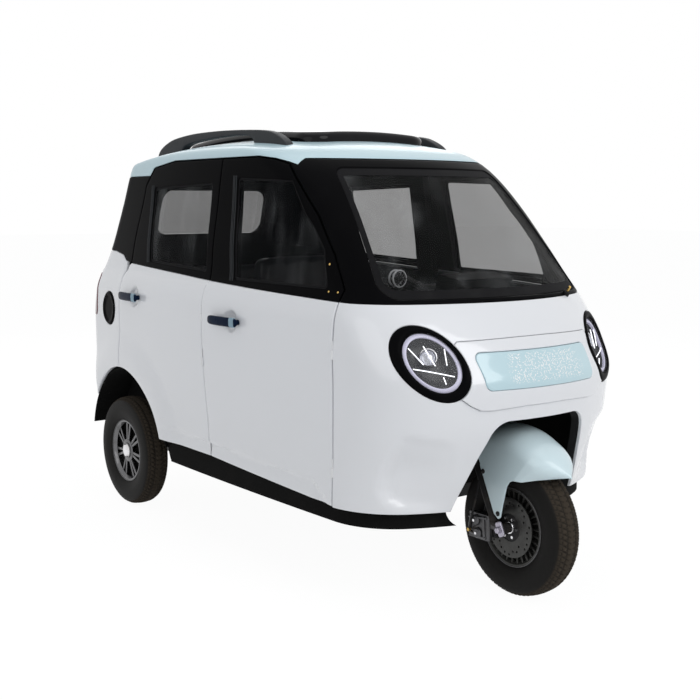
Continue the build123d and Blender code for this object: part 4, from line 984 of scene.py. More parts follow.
class Finishes:
    """Every finish of the car, made once."""

    def __init__(self) -> None:
        self.white = Paint("white body paint", (0.80, 0.815, 0.85)).build()
        self.blue = Paint("pale blue body paint", (0.530, 0.710, 0.775), dust_share=0.06,
                          coat=0.25).build()
        # Painted light: the fender's blue is lighter than the body's blue, to make up for the shade
        # it sits in under the nose.
        self.fender = Paint("pale blue fender paint", (0.68, 0.83, 0.88),
                            dust_share=0.04, coat=0.4).build()
        self.scoop = Paint("white handle scoop", (0.80, 0.81, 0.83), dust_share=0.2).build()
        self.gloss = Plastic("gloss black trim", (0.0035, 0.0035, 0.004), 0.28, 0.00001,
                             dust=(0.010, 0.010, 0.011), dust_share=0.15, specular=0.01).build()
        self.roof_glass = Plastic("gloss black roof lid", (0.005, 0.005, 0.006), 0.10, 0.000004,
                                  dust=(0.03, 0.03, 0.033), dust_share=0.12,
                                  specular=0.14).build()
        self.matte = Plastic("grained black plastic", (0.008, 0.008, 0.009), 0.58,
                             dust=(0.05, 0.05, 0.048), specular=0.12).build()
        self.liner = Plastic("black wheel liner", (0.006, 0.006, 0.006), 0.82, 0.0002, 260.0,
                             (0.03, 0.028, 0.026), 0.25, specular=0.05).build()
        self.seal = Plastic("black rubber seal", (0.006, 0.006, 0.007), 0.7, 0.00005,
                            dust=(0.04, 0.04, 0.04), specular=0.08).build()
        self.carpet = Plastic("dark floor covering", (0.030, 0.029, 0.028), 0.95, 0.0008,
                              520.0).build()
        self.rail = Metal("grey roof rail", (0.030, 0.033, 0.036), 0.50, 0.1,
                          (0.06, 0.06, 0.063), 0.3, specular=0.15).build()
        self.steel = Metal("black painted steel", (0.012, 0.012, 0.013), 0.50, 0.1,
                           specular=0.2).build()
        self.castings = Metal("grey axle casting", (0.10, 0.10, 0.105), 0.42, 0.8).build()
        self.alloy = Metal("dark wheel alloy", (0.055, 0.055, 0.052), 0.42, 0.6,
                           (0.03, 0.026, 0.022), 0.6, specular=0.2).build()
        self.rim = Metal("dark chrome rim", (0.15, 0.15, 0.155), 0.16, 1.0,
                         (0.03, 0.026, 0.022), 0.35, 0.00003).build()
        self.chrome = Metal("worn chrome", (0.78, 0.78, 0.80), 0.13, 1.0,
                            (0.28, 0.22, 0.17), 0.35, 0.00002).build()
        self.lug = Metal("pale zinc lug", (0.46, 0.44, 0.52), 0.38, 0.7, grime_share=0.3).build()
        self.gold = Metal("yellow zinc bolt", (0.62, 0.42, 0.13), 0.3, 1.0, grime_share=0.3).build()
        self.disc = Metal("brake disc", (0.060, 0.060, 0.058), 0.40, 0.8,
                          (0.03, 0.027, 0.024), 0.5).build()
        self.rubber = Rubber().build()
        self.glass = Glazing("side glass", (0.005, 0.006, 0.007), 0.34, 0.02, 0.03, 0.02).build()
        self.screen = Glazing("windshield glass", (0.010, 0.011, 0.011), 0.24, shine=0.07).build()
        self.rear_glass = Glazing("dark rear glass", (0.010, 0.011, 0.012), 0.40).build()
        self.lens = Glazing("headlamp lens", (0.80, 0.82, 0.88), 0.03, 0.02, 0.0, 0.15).build()
        self.tail = Plastic("wine red lamp", (0.11, 0.006, 0.022), 0.10, 0.0003, 320.0,
                            (0.4, 0.1, 0.15), 0.2, 1.0).build()
        self.halo = Glow("pale halo ring", (0.60, 0.58, 0.74), 0.12).build()
        self.strip = Glow("white diode strip", (0.95, 0.96, 1.0), 1.3).build()
        self.film = Glazing("pale blue film", (0.50, 0.72, 0.86), 0.55, 0.2, 0.25).build()
        self.navy = Plastic("navy handle", (0.002, 0.009, 0.030), 0.25, 0.00003,
                            dust=(0.006, 0.025, 0.06), dust_share=0.2, specular=0.04).build()
        self.seat = Upholstery("dark artificial leather", (0.022, 0.022, 0.026)).build()
        self.battery = Plastic("battery case", (0.03, 0.03, 0.034), 0.6).build()
        self.grille = GrillePaint().build()
        self.bowl = Plastic("dark lamp bowl", (0.012, 0.012, 0.014), 0.25, 0.00003,
                            dust_share=0.1, specular=0.3).build()
        self.eye = Metal("lamp eye", (0.42, 0.43, 0.47), 0.06, 0.9, grime_share=0.1,
                         cast=0.00001).build()
        self.fan_blade = Plastic("pale fan blade", (0.30, 0.31, 0.32), 0.35).build()
        self.inner = Plastic("cabin lining", (0.012, 0.012, 0.013), 0.75, 0.0003, dust_share=0.1,
                             specular=0.15).build()


# ------------------------------------------------------------------- outlines
FRONT_DOOR = tuple(FRONT_DOOR_TOP) + ((DOOR_SPLIT_Y, 345), (FRONT_DOOR_Y, 312))
REAR_DOOR = tuple(REAR_DOOR_TOP) + ((REAR_DOOR_Y, 345), (DOOR_SPLIT_Y, 345))


def height_on(line: Outline, y: Array) -> Array:
    """Height of a (y, z) line at stations y."""
    table = np.asarray(line, float)
    return np.interp(y, table[:, 0], table[:, 1])


def trimmed(loop: Array, level: Callable[[Array], Array],
            along: Callable[[Array, Array], Array]) -> Array:
    """A closed outline cut off where a level function is negative.

    Args:
        loop: The outline.
        level: Positive where the outline stays.
        along: Points of the cut, from one crossing to the other.

    Returns:
        The part that stays, closed by the cut.
    """
    p = dense(loop, 4.0)
    value = level(p)
    start = np.flatnonzero((value > 0) & (np.roll(value, 1) <= 0))
    if not len(start):
        return p
    p, value = np.roll(p, -start[0], axis=0), np.roll(value, -start[0])
    last = np.flatnonzero(value > 0)[-1]

    def crossing(i: int, j: int) -> Array:
        return p[i] + (p[j] - p[i]) * value[i] / (value[i] - value[j])

    first_cut, last_cut = crossing(0, -1), crossing(last, last + 1)
    return np.vstack([first_cut, p[:last + 1], last_cut, along(last_cut, first_cut)])


def cut_by_line(loop: Array, line: Outline, keep_below: bool, gap: float) -> Array:
    """An outline kept on one side of a (y, z) line, a gap away from it."""
    sign = -1.0 if keep_below else 1.0

    def level(p: Array) -> Array:
        return sign * (p[:, 1] - height_on(line, p[:, 0])) - gap

    def along(a: Array, b: Array) -> Array:
        y = np.linspace(a[0], b[0], 60)[1:-1]
        return np.stack([y, height_on(line, y) + sign * gap], 1)

    return trimmed(loop, level, along)


def cut_by_arch(loop: Array, gap: float = 0.0) -> Array:
    """An outline kept outside the rear wheel arch."""
    centre, radius = np.array([REAR_ARCH_Y, REAR_ARCH_Z]), REAR_ARCH_RADIUS + gap

    def level(p: Array) -> Array:
        return np.linalg.norm(p - centre, axis=1) - radius

    def along(a: Array, b: Array) -> Array:
        angle = np.linspace(*(np.arctan2(*(q - centre)[::-1]) for q in (a, b)), 60)[1:-1]
        return centre + radius * np.stack([np.cos(angle), np.sin(angle)], 1)

    return trimmed(loop, level, along)


def both_halves(half: Array) -> Array:
    """Closed outline from its left half, which starts and ends on the middle line."""
    other = half[::-1] * (-1, 1)
    return np.vstack([half, other[1:-1]])


def circle(centre: tuple[float, float], radius: float, count: int = 64) -> Array:
    """Points of a circle."""
    angle = around(count)
    return np.asarray(centre) + radius * np.stack([np.cos(angle), np.sin(angle)], 1)


Relief = Callable[[Array, Array], Array]


@dataclass
class Sheet:
    """One panel on the skin: outline and holes in the domain, and its build.

    A point is the skin's point moved inside by the depth, plus normal * (relief -
    drop), where drop is that of a rounded edge at the point's distance from the
    border. Its partner on the back is moved inside by the depth and the thickness.
    """

    outline: Array
    holes: Sequence[Array] = ()
    depth: float = 0.0
    thick: float = WALL
    roll: float = EDGE_ROLL
    step: float = 15.0
    tail: bool = False
    relief: Relief | None = None

    def shares(self, along: Array) -> Array:
        """Share of the way round for domain lengths."""
        if not self.tail:
            return along / AROUND
        return np.where(along <= 0, 1 + along / AROUND, -1 + along / AROUND)

    def mesh(self) -> Mesh:
        """The closed sheet."""
        rings = tuple(np.array((0.18, 0.45, 0.8, 1.15)) * self.roll) if self.roll else ()
        net = flat_net([self.outline, *self.holes], self.step, rings)
        return self.laid(net)

    def laid(self, net: Net) -> Mesh:
        """The closed sheet on a given net."""
        n, z = self.shares(net.points[:, 0]), net.points[:, 1]
        drop = rolled(net.edge, self.roll) if self.roll else np.zeros(len(z))
        lift = self.relief(n, z) if self.relief else 0.0
        base, _ = SKIN.place(n, z, self.depth)
        front = base + SKIN.normal(n, z) * (lift - drop)[:, None]
        back, _ = SKIN.place(n, z, self.depth + self.thick)
        return sheet_mesh(net, front, back)


# ------------------------------------------------------------- lamps' own frame
class LampFrame:
    """Flat coordinates (u, v) of the left headlamp, carried along its aim."""

    def __init__(self) -> None:
        aim = np.asarray(LAMP_AIM, float)
        self.aim = aim / np.linalg.norm(aim)
        across = np.array([-self.aim[1], self.aim[0], 0.0])
        self.across = across / np.linalg.norm(across)
        self.up = np.cross(self.aim, self.across)
        if self.up[2] < 0:
            self.up, self.across = -self.up, -self.across
        self.at = np.asarray(LAMP_AT, float)

    def flat(self, u: Array, v: Array) -> Array:
        """Points on the lamp's plane."""
        return self.at + np.multiply.outer(u, self.across) + np.multiply.outer(v, self.up)

    def on_skin(self, u: Array, v: Array) -> Array:
        """Points where lines along the aim meet the skin, by halving an interval."""
        base = self.flat(u, v)
        low, high = np.full(base.shape[:-1], -160.0), np.full(base.shape[:-1], 160.0)
        for _ in range(30):
            middle = (low + high) / 2
            outside = skin_gap(base + middle[..., None] * self.aim) > 0
            high, low = np.where(outside, middle, high), np.where(outside, low, middle)
        return base + low[..., None] * self.aim


def arc_place(points: Array) -> tuple[Array, Array]:
    """Level gap outside the skin and share of the way round, for points with x > 0."""
    centres, radii, starts, sweeps, lengths = SKIN.arcs(points[..., 2])
    offset = points[..., None, :2] - centres
    angle = np.arctan2(offset[..., 1], offset[..., 0])
    along = ((angle - starts + pi) % tau - pi) * np.sign(sweeps)
    share = along / np.abs(sweeps)
    miss = np.maximum(np.maximum(-share, share - 1), 0)
    k = miss.argmin(-1)[..., None]

    def pick(a: Array) -> Array:
        return np.take_along_axis(a, k, -1)[..., 0]

    gap = np.hypot(offset[..., 0], offset[..., 1]) - radii
    way = pick(np.cumsum(lengths, -1)) - pick(lengths) * (1 - np.clip(pick(share), 0, 1))
    return pick(gap), way / lengths.sum(-1)


def skin_gap(points: Array) -> Array:
    """How far outside the skin points are, level."""
    return arc_place(points)[0]


LAMP = LampFrame()


@dataclass(frozen=True)
class Oval:
    """A leaning oval on the lamp's plane: half width, half height and the lean.

    Its points are the centre plus the lower triangular root of [[w^2, c], [c, h^2]]
    times (cos a, sin a).
    """

    u: float
    v: float
    half_width: float
    half_height: float
    lean: float

    def points(self, angle: Array, margin: Array | float = 0.0) -> tuple[Array, Array]:
        """Flat coordinates at angles, with the oval grown by a margin."""
        width, height = self.half_width + margin, self.half_height + margin
        slant = self.lean / self.half_width / self.half_height * height
        return (self.u + width * np.cos(angle),
                self.v + slant * np.cos(angle) + np.sqrt(height ** 2 - slant ** 2) * np.sin(angle))

    def between(self, other: Oval, share: float) -> Oval:
        """The oval a share of the way to another one."""
        return Oval(*(a + (b - a) * share for a, b in (
            (self.u, other.u), (self.v, other.v), (self.half_width, other.half_width),
            (self.half_height, other.half_height), (self.lean, other.lean))))


BEZEL_OVAL = Oval(7.0, 7.0, 124.0, 122.0, 6000.0)
LENS_OVAL = Oval(-0.5, 9.0, 91.0, 95.0, 3000.0)


def lamp_loop(margin: float, count: int = 120) -> Array:
    """Outline of the left headlamp in the domain, grown by a margin."""
    angle = around(count)
    points = LAMP.on_skin(*BEZEL_OVAL.points(angle, margin))
    return np.stack([arc_place(points)[1] * AROUND, points[:, 2]], 1)


# ------------------------------------------------------------------- the nose
@dataclass
class Nose:
    """White nose, the proud face panel between the lamps and the blue grille.

    The face panel's upper seam and lower lip are (x, z) lines that end at the lamps.
    """

    seam: Outline = ((0, 863), (60, 863), (284, 858))
    lip: Outline = ((0, 655), (90, 655), (217, 648), (252, 650), (284, 666), (322, 694))
    lip_proud: float = 7.0
    seam_gap: float = 1.3
    hollow: Outline = ((300, 548), (350, 566), (409, 573), (444, 580), (466, 571), (478, 526),
                       (489, 431), (489, 388), (474, 345), (423, 322), (330, 318), (262, 330))
    hollow_depth: float = 32.0

    def outline(self) -> Array:
        """Outline of the whole nose in the domain."""
        side = FRONT_DOOR_Y - HALF_GAP
        top = side_points([(-760, 968.5), (-740, 968.6), (side, height_on(BELT, side) - 0.4)])
        down = side_points(dense(np.array([(side, 968), (side, SILL[0][1])]), 8, False))
        arch = rounded(FRONT_ARCH, 70.0, 14)
        arch = arch[(arch[:, 0] >= 0) & (arch[:, 1] > SILL[0][1])][::-1]
        foot = np.array([(274.2, SILL[0][1])])
        rise = front_points(np.vstack([foot, arch]))
        half = np.vstack([[(0, 967.6)], top, down, rise, [(0, FRONT_ARCH[3][1])]])
        return both_halves(half)

    def split(self) -> tuple[Array, Array]:
        """Outlines of the face panel and of the hole in the nose round it and the lamps."""
        oval = lamp_loop(0.0)
        seam = front_points(dense(np.asarray(self.seam, float), 6, False))
        lip = front_points(dense(np.asarray(self.lip, float), 6, False))
        high = int(np.linalg.norm(oval - seam[-1], axis=1).argmin())
        low = int(np.linalg.norm(oval - lip[-1], axis=1).argmin())
        one = np.roll(oval, -high, axis=0)
        cut = (low - high) % len(oval)
        runs = (one[:cut + 1], np.vstack([one[cut:], one[:1]])[::-1])
        inner, outer = sorted(runs, key=lambda run: run[:, 0].mean())
        keep = seam[:, 0] < inner[0, 0] - 2
        keep_lip = lip[:, 0] < inner[-1, 0] - 2
        loops = [both_halves(np.vstack([seam[keep], run, lip[keep_lip][::-1]]))
                 for run in (inner, outer)]
        return loops[0], loops[1]

    def face_relief(self, n: Array, z: Array) -> Array:
        """The face panel swells towards its lower lip."""
        return self.lip_proud * smooth_step(790 - z, 0.0, 110.0)

    def nose_relief(self, n: Array, z: Array) -> Array:
        """A shadow line under the lip and a hollow each side of the wheel arch."""
        point, _ = SKIN.place(np.abs(n), z)
        x = point[..., 0]
        loop = np.asarray(rounded(self.hollow, 30.0))
        flat = np.stack([x, z], -1)
        depth = segment_distance(flat, [loop]) * np.where(inside(flat, [loop]), 1.0, -1.0)
        crisp = smooth_step(depth, -3.0, 31.0)
        fade = smooth_step(x, 262.0, 430.0) * (0.8 + 0.2 * smooth_step(z, 315.0, 430.0))
        fade = fade * (1 - 0.65 * smooth_step(z, 440.0, 560.0))
        return -self.hollow_depth * crisp * fade

    def build(self, f: Finishes) -> None:
        """Makes the nose, the face panel and the grille."""
        face, hole = self.split()
        grille = front_points(dense(rounded(GRILLE, 22.0), 7.0))
        nose = Sheet(self.outline(), [grown(hole, self.seam_gap / 2)], roll=2.6,
                     relief=self.nose_relief, step=13.0).mesh()
        face_mesh = Sheet(grown(face, -self.seam_gap / 2), [grown(grille, 0.5)], roll=3.0,
                          relief=self.face_relief, step=13.0).mesh()
        make_object("front_shell_skin", nose, f.white, Slot.WHITE, "body", ("front_shell",),
                    lining=f.inner)
        make_object("face_panel", face_mesh, f.white, Slot.WHITE, "body")
        panel = Sheet(grown(grille, -0.5), depth=-2.0, thick=20.0, roll=3.2, step=11.0,
                      relief=lambda n, z: self.face_relief(n, z) - 1.0).mesh()
        make_object("grille_plate", panel, f.grille, Slot.BLUE, "body", ("grille_panel",))


# --------------------------------------------------- fixed panels round the cabin
def surround_front() -> Array:
    """Outline of the black frame round the windshield, in the domain."""
    door = grown(np.asarray(FRONT_DOOR, float), HALF_GAP)
    door = door[(door[:, 1] > 975) & (door[:, 0] < -330)]
    door = door[np.argsort(-door[:, 1])]
    upper = dense(np.array([(-356, 1429.5), (-362, 1407.5), (-329, 1417)]), 5, False)
    side = FRONT_DOOR_Y - HALF_GAP
    lower = [(side, height_on(BELT, side) + 0.4), (-740, 969.5), (-760, 969.4)]
    edge = side_points(np.vstack([upper, dense(np.vstack([door, lower[:1]]), 6, False)[1:],
                                  lower[1:]]))
    return both_halves(np.vstack([[(0, 1430.5)], edge, [(0, 968.4)]]))


def surround_rear() -> Array:
    """Outline of the black frame round the rear window, from the tail's middle."""
    door = grown(np.asarray(REAR_DOOR, float), HALF_GAP)
    door = door[(door[:, 1] > 1034) & (door[:, 0] > 600)]
    door = door[np.argsort(-door[:, 1])]
    upper = [(632, 1387.5), (603, 1417.5), (595, 1417.6)]
    lower = [(745, 1034.4), (757, 1034.4), (800, 1041.4), (835, 1063.4), (925, 1077.4)]
    path = dense(np.vstack([upper, door, lower]), 6, False)
    edge = side_points(path) - (AROUND, 0)
    return both_halves(np.vstack([[(0, 1386.5)], edge, [(0, 1080.4)]]))


def tail_outline() -> Array:
    """Outline of the white tail, from its middle."""
    side = REAR_DOOR_Y + HALF_GAP
    upper = [(925, 1076.6), (835, 1062.6), (800, 1040.6), (side, 1037.8)]
    drop = REAR_ARCH_Z + sqrt(REAR_ARCH_RADIUS ** 2 - (side - REAR_ARCH_Y) ** 2)
    end = REAR_ARCH_Y + sqrt(REAR_ARCH_RADIUS ** 2 - (440 - REAR_ARCH_Z) ** 2)
    angle = np.linspace(atan2(drop - REAR_ARCH_Z, side - REAR_ARCH_Y),
                        atan2(440 - REAR_ARCH_Z, end - REAR_ARCH_Y), 50)
    arc = np.stack([REAR_ARCH_Y + REAR_ARCH_RADIUS * np.cos(angle),
                    REAR_ARCH_Z + REAR_ARCH_RADIUS * np.sin(angle)], 1)
    path = np.vstack([dense(np.vstack([upper, arc[:1]]), 8, False)[:-1], arc])
    edge = side_points(path) - (AROUND, 0)
    return both_halves(np.vstack([[(0, 1079.6)], edge, [(0, 440)]]))


SCOOPS = ((-150.0, 868.0), (616.0, 903.0))
DOOR_STEP = ((-699, 318), (-636, 353), (-587, 386), (-547, 385), (50, 401), (304, 408),
             (420, 400))


def flank_relief(n: Array, z: Array) -> Array:
    """Flare round the rear arch, a step low on the doors and the handles' scoops.

    The flare swells with nearness to the arch. The skin drops in below the step's
    line and comes back out lower down. A scoop is a round dish with a flat floor.
    """
    point, _ = SKIN.place(np.abs(n), z)
    y = point[..., 1]
    away = np.hypot(y - REAR_ARCH_Y, z - REAR_ARCH_Z)
    flare = 13.0 * (1 - smooth_step(away, 385.0, 520.0))
    fade = smooth_step(y, -690, -640) * (1 - smooth_step(y, 330, 430))
    below = height_on(DOOR_STEP, y) - z
    step = -8.0 * smooth_step(below, -3.0, 8.0) * (1 - 0.8 * smooth_step(below, 14.0, 80.0)) * fade
    scoop = sum(-9.0 * (1 - smooth_step(np.hypot(y - at[0], z - at[1]), 30.0, 43.0))
                for at in SCOOPS)
    return flare + step + scoop


@dataclass
class Fixed:
    """Surrounds, tail with its lamps and charging port, roof and fixed glass."""

    tail_lamp_gap: float = 0.6
    lamp_end_y: float = 1045.0
    border: float = 26.0
    strip_half: float = 1.9
    roof_rows_side: int = 16
    roof_rows_top: int = 26
    roof_middle: tuple[float, float, float] = (0.0, 330.0, 0.0)
    roof_blend: float = 9.0
    ceiling: float = 30.0

    def build(self, f: Finishes) -> None:
        """Makes all fixed panels."""
        screen = front_points(dense(rounded(WINDSHIELD, 42.0), 8.0))
        window = tail_points(dense(rounded(REAR_WINDOW, 50.0), 8.0))
        front = Sheet(surround_front(), [screen], step=16.0).mesh()
        make_object("windshield_frame", front, f.gloss, Slot.BLACK_GLOSS, "body",
                    ("windshield_surround",), lining=f.inner)
        rear = Sheet(surround_rear(), [window], step=16.0, tail=True).mesh()
        make_object("rear_window_frame", rear, f.gloss, Slot.BLACK_GLOSS, "body",
                    ("rear_surround",), lining=f.inner)
        self.tail_panels(f)
        self.panes(f, screen, window)
        self.roof(f)

    def tail_panels(self, f: Finishes) -> None:
        """White tail, its lamps and the charging port on the right flank."""
        (inner_x, low), (upper_x, high) = TAIL_LAMP[:2]
        near = tail_points([(inner_x, low), (upper_x, high)])
        far = side_points([(self.lamp_end_y, high), (self.lamp_end_y, low)]) - (AROUND, 0)
        lamp = dense(rounded(np.vstack([near, far]), 28.0), 7.0)
        lamps = [lamp, lamp * (-1, 1)]
        port = side_points(circle(PORT_AT, PORT_RADIUS)) - (AROUND, 0)
        port = port * (-1, 1)
        tail = Sheet(tail_outline(), [*lamps, port], tail=True, relief=flank_relief,
                     step=14.0).mesh()
        make_object("rear_shell_skin", tail, f.white, Slot.WHITE, "body", ("rear_shell",),
                    lining=f.inner)
        pieces = [Sheet(grown(loop, -self.tail_lamp_gap), depth=-2.0, thick=22.0, roll=5.0,
                        step=12.0, tail=True).mesh() for loop in lamps]
        make_object("tail_lamp_lenses", pieces[0].plus(pieces[1]), f.tail, Slot.TAIL, "body",
                    ("tail_lamps",))
        lid = Sheet(grown(port, -1.5), depth=-3.0, thick=20.0, roll=6.0, step=9.0, tail=True,
                    relief=self.port_dish).mesh()
        make_object("charge_port_lid", lid, f.gloss, Slot.BLACK_GLOSS, "body",
                    ("charge_port_cover",))
        strips = [self.strip(y, low, high) for y, low, high in (
            (DOOR_SPLIT_Y, 352.0, 998.0), (REAR_DOOR_Y, 602.0, 970.0))]
        both = joined([mesh for strip in strips for mesh in (strip, strip.mirrored())])
        make_object("gap_strips", both, f.scoop, Slot.WHITE, "body")

    def strip(self, y: float, low: float, high: float) -> Mesh:
        """Pale strip in the bottom of a shut gap."""
        near, far = y - self.strip_half, y + self.strip_half
        outline = dense(np.array([(near, low), (far, low), (far, high), (near, high)]), 12.0)
        return Sheet(side_points(outline), depth=3.0, thick=3.0, roll=0.0, step=40.0).mesh()

    @staticmethod
    def port_dish(n: Array, z: Array) -> Array:
        """Raised rim of the charging port's lid, a shallow dish inside it."""
        point, _ = SKIN.place(np.abs(n), z)
        away = np.hypot(point[..., 1] - PORT_AT[0], z - PORT_AT[1])
        return 2.0 - 5.0 * (1 - smooth_step(away, 50.0, 57.0))

    def panes(self, f: Finishes, screen: Array, window: Array) -> None:
        """Windshield and rear window with their black borders."""
        pane = Sheet(grown(screen, -PANE_GAP), depth=PANE_DEPTH, thick=5.0, roll=0.0,
                     step=18.0).mesh()
        make_object("windshield_pane", pane, f.screen, Slot.GLASS, "body",
                    ("windshield_glass",))
        band = Sheet(grown(screen, -PANE_GAP), [grown(screen, -self.border)], depth=5.4,
                     thick=0.5, roll=0.0, step=14.0).mesh()
        make_object("windshield_border", band, f.seal, Slot.BLACK_GLOSS, "body")
        pane = Sheet(grown(window, -PANE_GAP), depth=PANE_DEPTH, thick=5.0, roll=0.0, step=18.0,
                     tail=True).mesh()
        make_object("rear_window_pane", pane, f.rear_glass, Slot.GLASS, "body",
                    ("rear_window_glass",))

    def roof_edge(self) -> Array:
        """Lower edge of the coloured roof on the left, in the domain."""
        front = [(-356, 1430.5), (-361, 1408.8), (-326, 1419.5),
                 (-266, 1433), (-184, 1443), (46, 1443), (420, 1443), (590.4, 1422),
                 (603, 1418.5), (632, 1388.5)]
        side = side_points(dense(np.array(front, float), 7, False))
        nose = np.linspace(0, side[0, 0], 44, endpoint=False)
        tail = np.linspace(side[-1, 0], AROUND, 44)[1:]
        return np.vstack([np.stack([nose, nose * 0 + 1431.5], 1), side,
                          np.stack([tail, tail * 0 + 1387.5], 1)])

    def roof_rows(self, share: Array, edge: Array, inset: float) -> Array:
        """Rows of roof points from the edge to the middle.

        On the side rows z runs from the edge to the top section. Then the top
        section's loop shrinks almost to a point. The height is the smooth minimum of the
        row's own height and the dome, -k * log(exp(-a / k) + exp(-b / k)).
        """
        top, k = SECTIONS[-1][0], self.roof_blend
        part = np.linspace(0, 1, self.roof_rows_side)[:, None] ** 0.9
        z = edge + (top - edge) * part
        sides, _ = SKIN.place(share[None, :] + z * 0, z, inset)
        loop = sides[-1]
        shrink = 1 - 0.985 * np.linspace(0, 1, self.roof_rows_top)[1:, None, None] ** 1.15
        inner = self.roof_middle + (loop - self.roof_middle) * shrink
        inner[..., 2] = top + (1 - shrink[..., 0]) * 400
        rows = np.concatenate([sides, inner])
        own, dome = rows[..., 2] - inset * 0.2, SKIN.dome(rows[..., 0], rows[..., 1], inset)
        lower = np.minimum(own, dome)
        blend = lower - k * np.log(np.exp(-(own - lower) / k) + np.exp(-(dome - lower) / k))
        rise = smooth_step(part * (top - edge), 0.0, 30.0)
        blend[:len(sides)] = own[:len(sides)] * (1 - rise) + blend[:len(sides)] * rise
        rows[..., 2] = blend
        return rows

    def roof(self, f: Finishes) -> None:
        """Closed roof shell, outer skin and ceiling."""
        left = self.roof_edge()
        share = np.concatenate([left[:, 0], -left[-2:0:-1, 0]]) / AROUND
        edge = np.concatenate([left[:, 1], left[-2:0:-1, 1]])
        outer = self.roof_rows(share, edge, 0.0)
        inner = self.roof_rows(share, edge, self.ceiling)
        lip, _ = SKIN.place(share, edge, 2.2)
        low, _ = SKIN.place(share, edge + 1.2, 0.6)
        rows = np.concatenate([inner[::-1], lip[None], low[None], outer[1:]])
        count = len(share)
        faces = grid_faces(len(rows), count, close_columns=True)
        mesh = Mesh(rows.reshape(-1, 3), faces + end_caps(len(rows), count))
        probe = mesh.points[list(faces[(len(inner) + 8) * count + 5])]
        normal = np.cross(probe[1] - probe[0], probe[2] - probe[0])
        if normal[1] > 0:
            mesh = Mesh(mesh.points, [tuple(reversed(face)) for face in mesh.faces])
        order = np.argsort(np.arange(len(mesh.faces)) < len(inner) * count, kind="stable")
        mesh = Mesh(mesh.points, [mesh.faces[i] for i in order.tolist()], len(inner) * count)
        make_object("roof_skin", mesh, f.blue, Slot.BLUE, "body", ("roof_panel",), 40.0, f.inner)


# ----------------------------------------------------------------------- doors
@dataclass
class Door:
    """One side door: white lower panel, black window frame, glass and inner lining."""

    name: str
    outline: Outline
    glass: Outline
    lining: float = 10.0
    glass_corner: float = 14.0

    def regions(self) -> tuple[Array, Array, Array]:
        """Outlines of the panel, the frame and the glass, in the domain."""
        whole = grown(np.asarray(self.outline, float), -HALF_GAP)
        panel = cut_by_line(whole, BELT, True, 0.4)
        if self.name == "rear":
            panel = cut_by_arch(panel)
        frame_loop = cut_by_line(whole, BELT, False, 0.4)
        return (side_points(panel), side_points(frame_loop),
                side_points(dense(rounded(self.glass, self.glass_corner), 7.0)))

    def build(self, f: Finishes, side: Side) -> None:
        """Makes the door on one side."""
        panel, frame_loop, glass = self.regions()
        body, lip, wall = f"{self.name}_door_{side.word}", DOOR_LIP, DOOR_WALL
        skin = Sheet(panel, thick=lip, relief=flank_relief, step=9.5)
        core = Sheet(grown(panel, -self.lining), depth=lip - 0.5, thick=wall - lip, roll=0.0,
                     step=40.0)
        rim = Sheet(frame_loop, [glass], thick=lip, roll=3.0, step=15.0)
        back = Sheet(grown(frame_loop, -self.lining), [grown(glass, 8.0)], depth=lip - 0.5,
                     thick=wall - lip, roll=0.0, step=30.0)
        pane = Sheet(grown(glass, -PANE_GAP), depth=PANE_DEPTH, thick=4.0, roll=0.0, step=24.0)
        seal = Sheet(grown(glass, 2.5), [grown(glass, -7.0)], depth=3.4, thick=3.0, roll=1.2,
                     step=12.0)
        pieces = [("skin", skin.mesh(), f.white, Slot.WHITE, "panel"),
                  ("lining", core.mesh(), f.inner, Slot.PLASTIC, None),
                  ("window_frame", rim.mesh(), f.gloss, Slot.BLACK_GLOSS, "frame"),
                  ("window_lining", back.mesh(), f.matte, Slot.PLASTIC, None),
                  ("pane", pane.mesh(), f.glass, Slot.GLASS, "glass"),
                  ("window_seal", seal.mesh(), f.seal, Slot.PLASTIC, None),
                  ("glass_guides", self.guides(), f.rail, Slot.PLASTIC, None)]
        if self.name == "front":
            pieces.append(("screw_inserts", self.inserts(), f.gold, Slot.BRIGHT, None))
        for name, mesh, material, slot, node in pieces:
            nodes = (f"{self.name}_door_{node}_{side.word}",) if node else ()
            make_object(f"{body}_{name}", side.of(mesh), material, slot, body, nodes)

    def guides(self) -> Mesh:
        """Upright ribs on the frame beside the glass's rear edge."""
        by_rear = sorted(self.glass, key=lambda p: -p[0])[:2]
        (y0, z0), (y1, z1) = sorted(by_rear, key=lambda p: p[1])
        z = np.linspace(z0 - 6, z1 + 8, 40)
        ribs = []
        for shift in (9.0, 19.0, 27.0):
            y = y0 + (y1 - y0) * (z - z0) / (z1 - z0) + shift
            path = SKIN.place(SKIN.share_of_y(y, z), z, -0.6)[0]
            ribs.append(tube(path, 2.1, 10))
        return joined(ribs)

    def inserts(self) -> Mesh:
        """Threaded inserts of the missing mirror."""
        at = np.array([(-627.0, 1086.0), (-642.0, 1000.0), (-684.0, 1000.0)])
        n = SKIN.share_of_y(at[:, 0], at[:, 1])
        base, _ = SKIN.place(n, at[:, 1])
        way = SKIN.normal(n, at[:, 1])
        return joined(tube([b - w * 8, b + w * 0.9], 3.7, 20) for b, w in zip(base, way))


# --------------------------------------------------------------- simple solids
def outward(mesh: Mesh) -> Mesh:
    """A closed mesh with its faces turned outwards, by the sign of its volume."""
    fans = np.array([(f[0], f[i], f[i + 1]) for f in mesh.faces for i in range(1, len(f) - 1)])
    a, b, c = (mesh.points[fans[:, k]] for k in range(3))
    volume = (np.cross(a, b) * c).sum()
    return mesh if volume > 0 else Mesh(mesh.points, [tuple(reversed(f)) for f in mesh.faces])


def looped(grid: Array) -> Mesh:
    """Closed ring through rows of points that join both ways."""
    rows, columns, _ = grid.shape
    return outward(Mesh(grid.reshape(-1, 3), grid_faces(rows, columns, True, True)))


def end_caps(rows: int, columns: int) -> list[tuple[int, ...]]:
    """The two faces that close a tube of rows of points."""
    return [tuple(range(columns - 1, -1, -1)), tuple(range((rows - 1) * columns, rows * columns))]


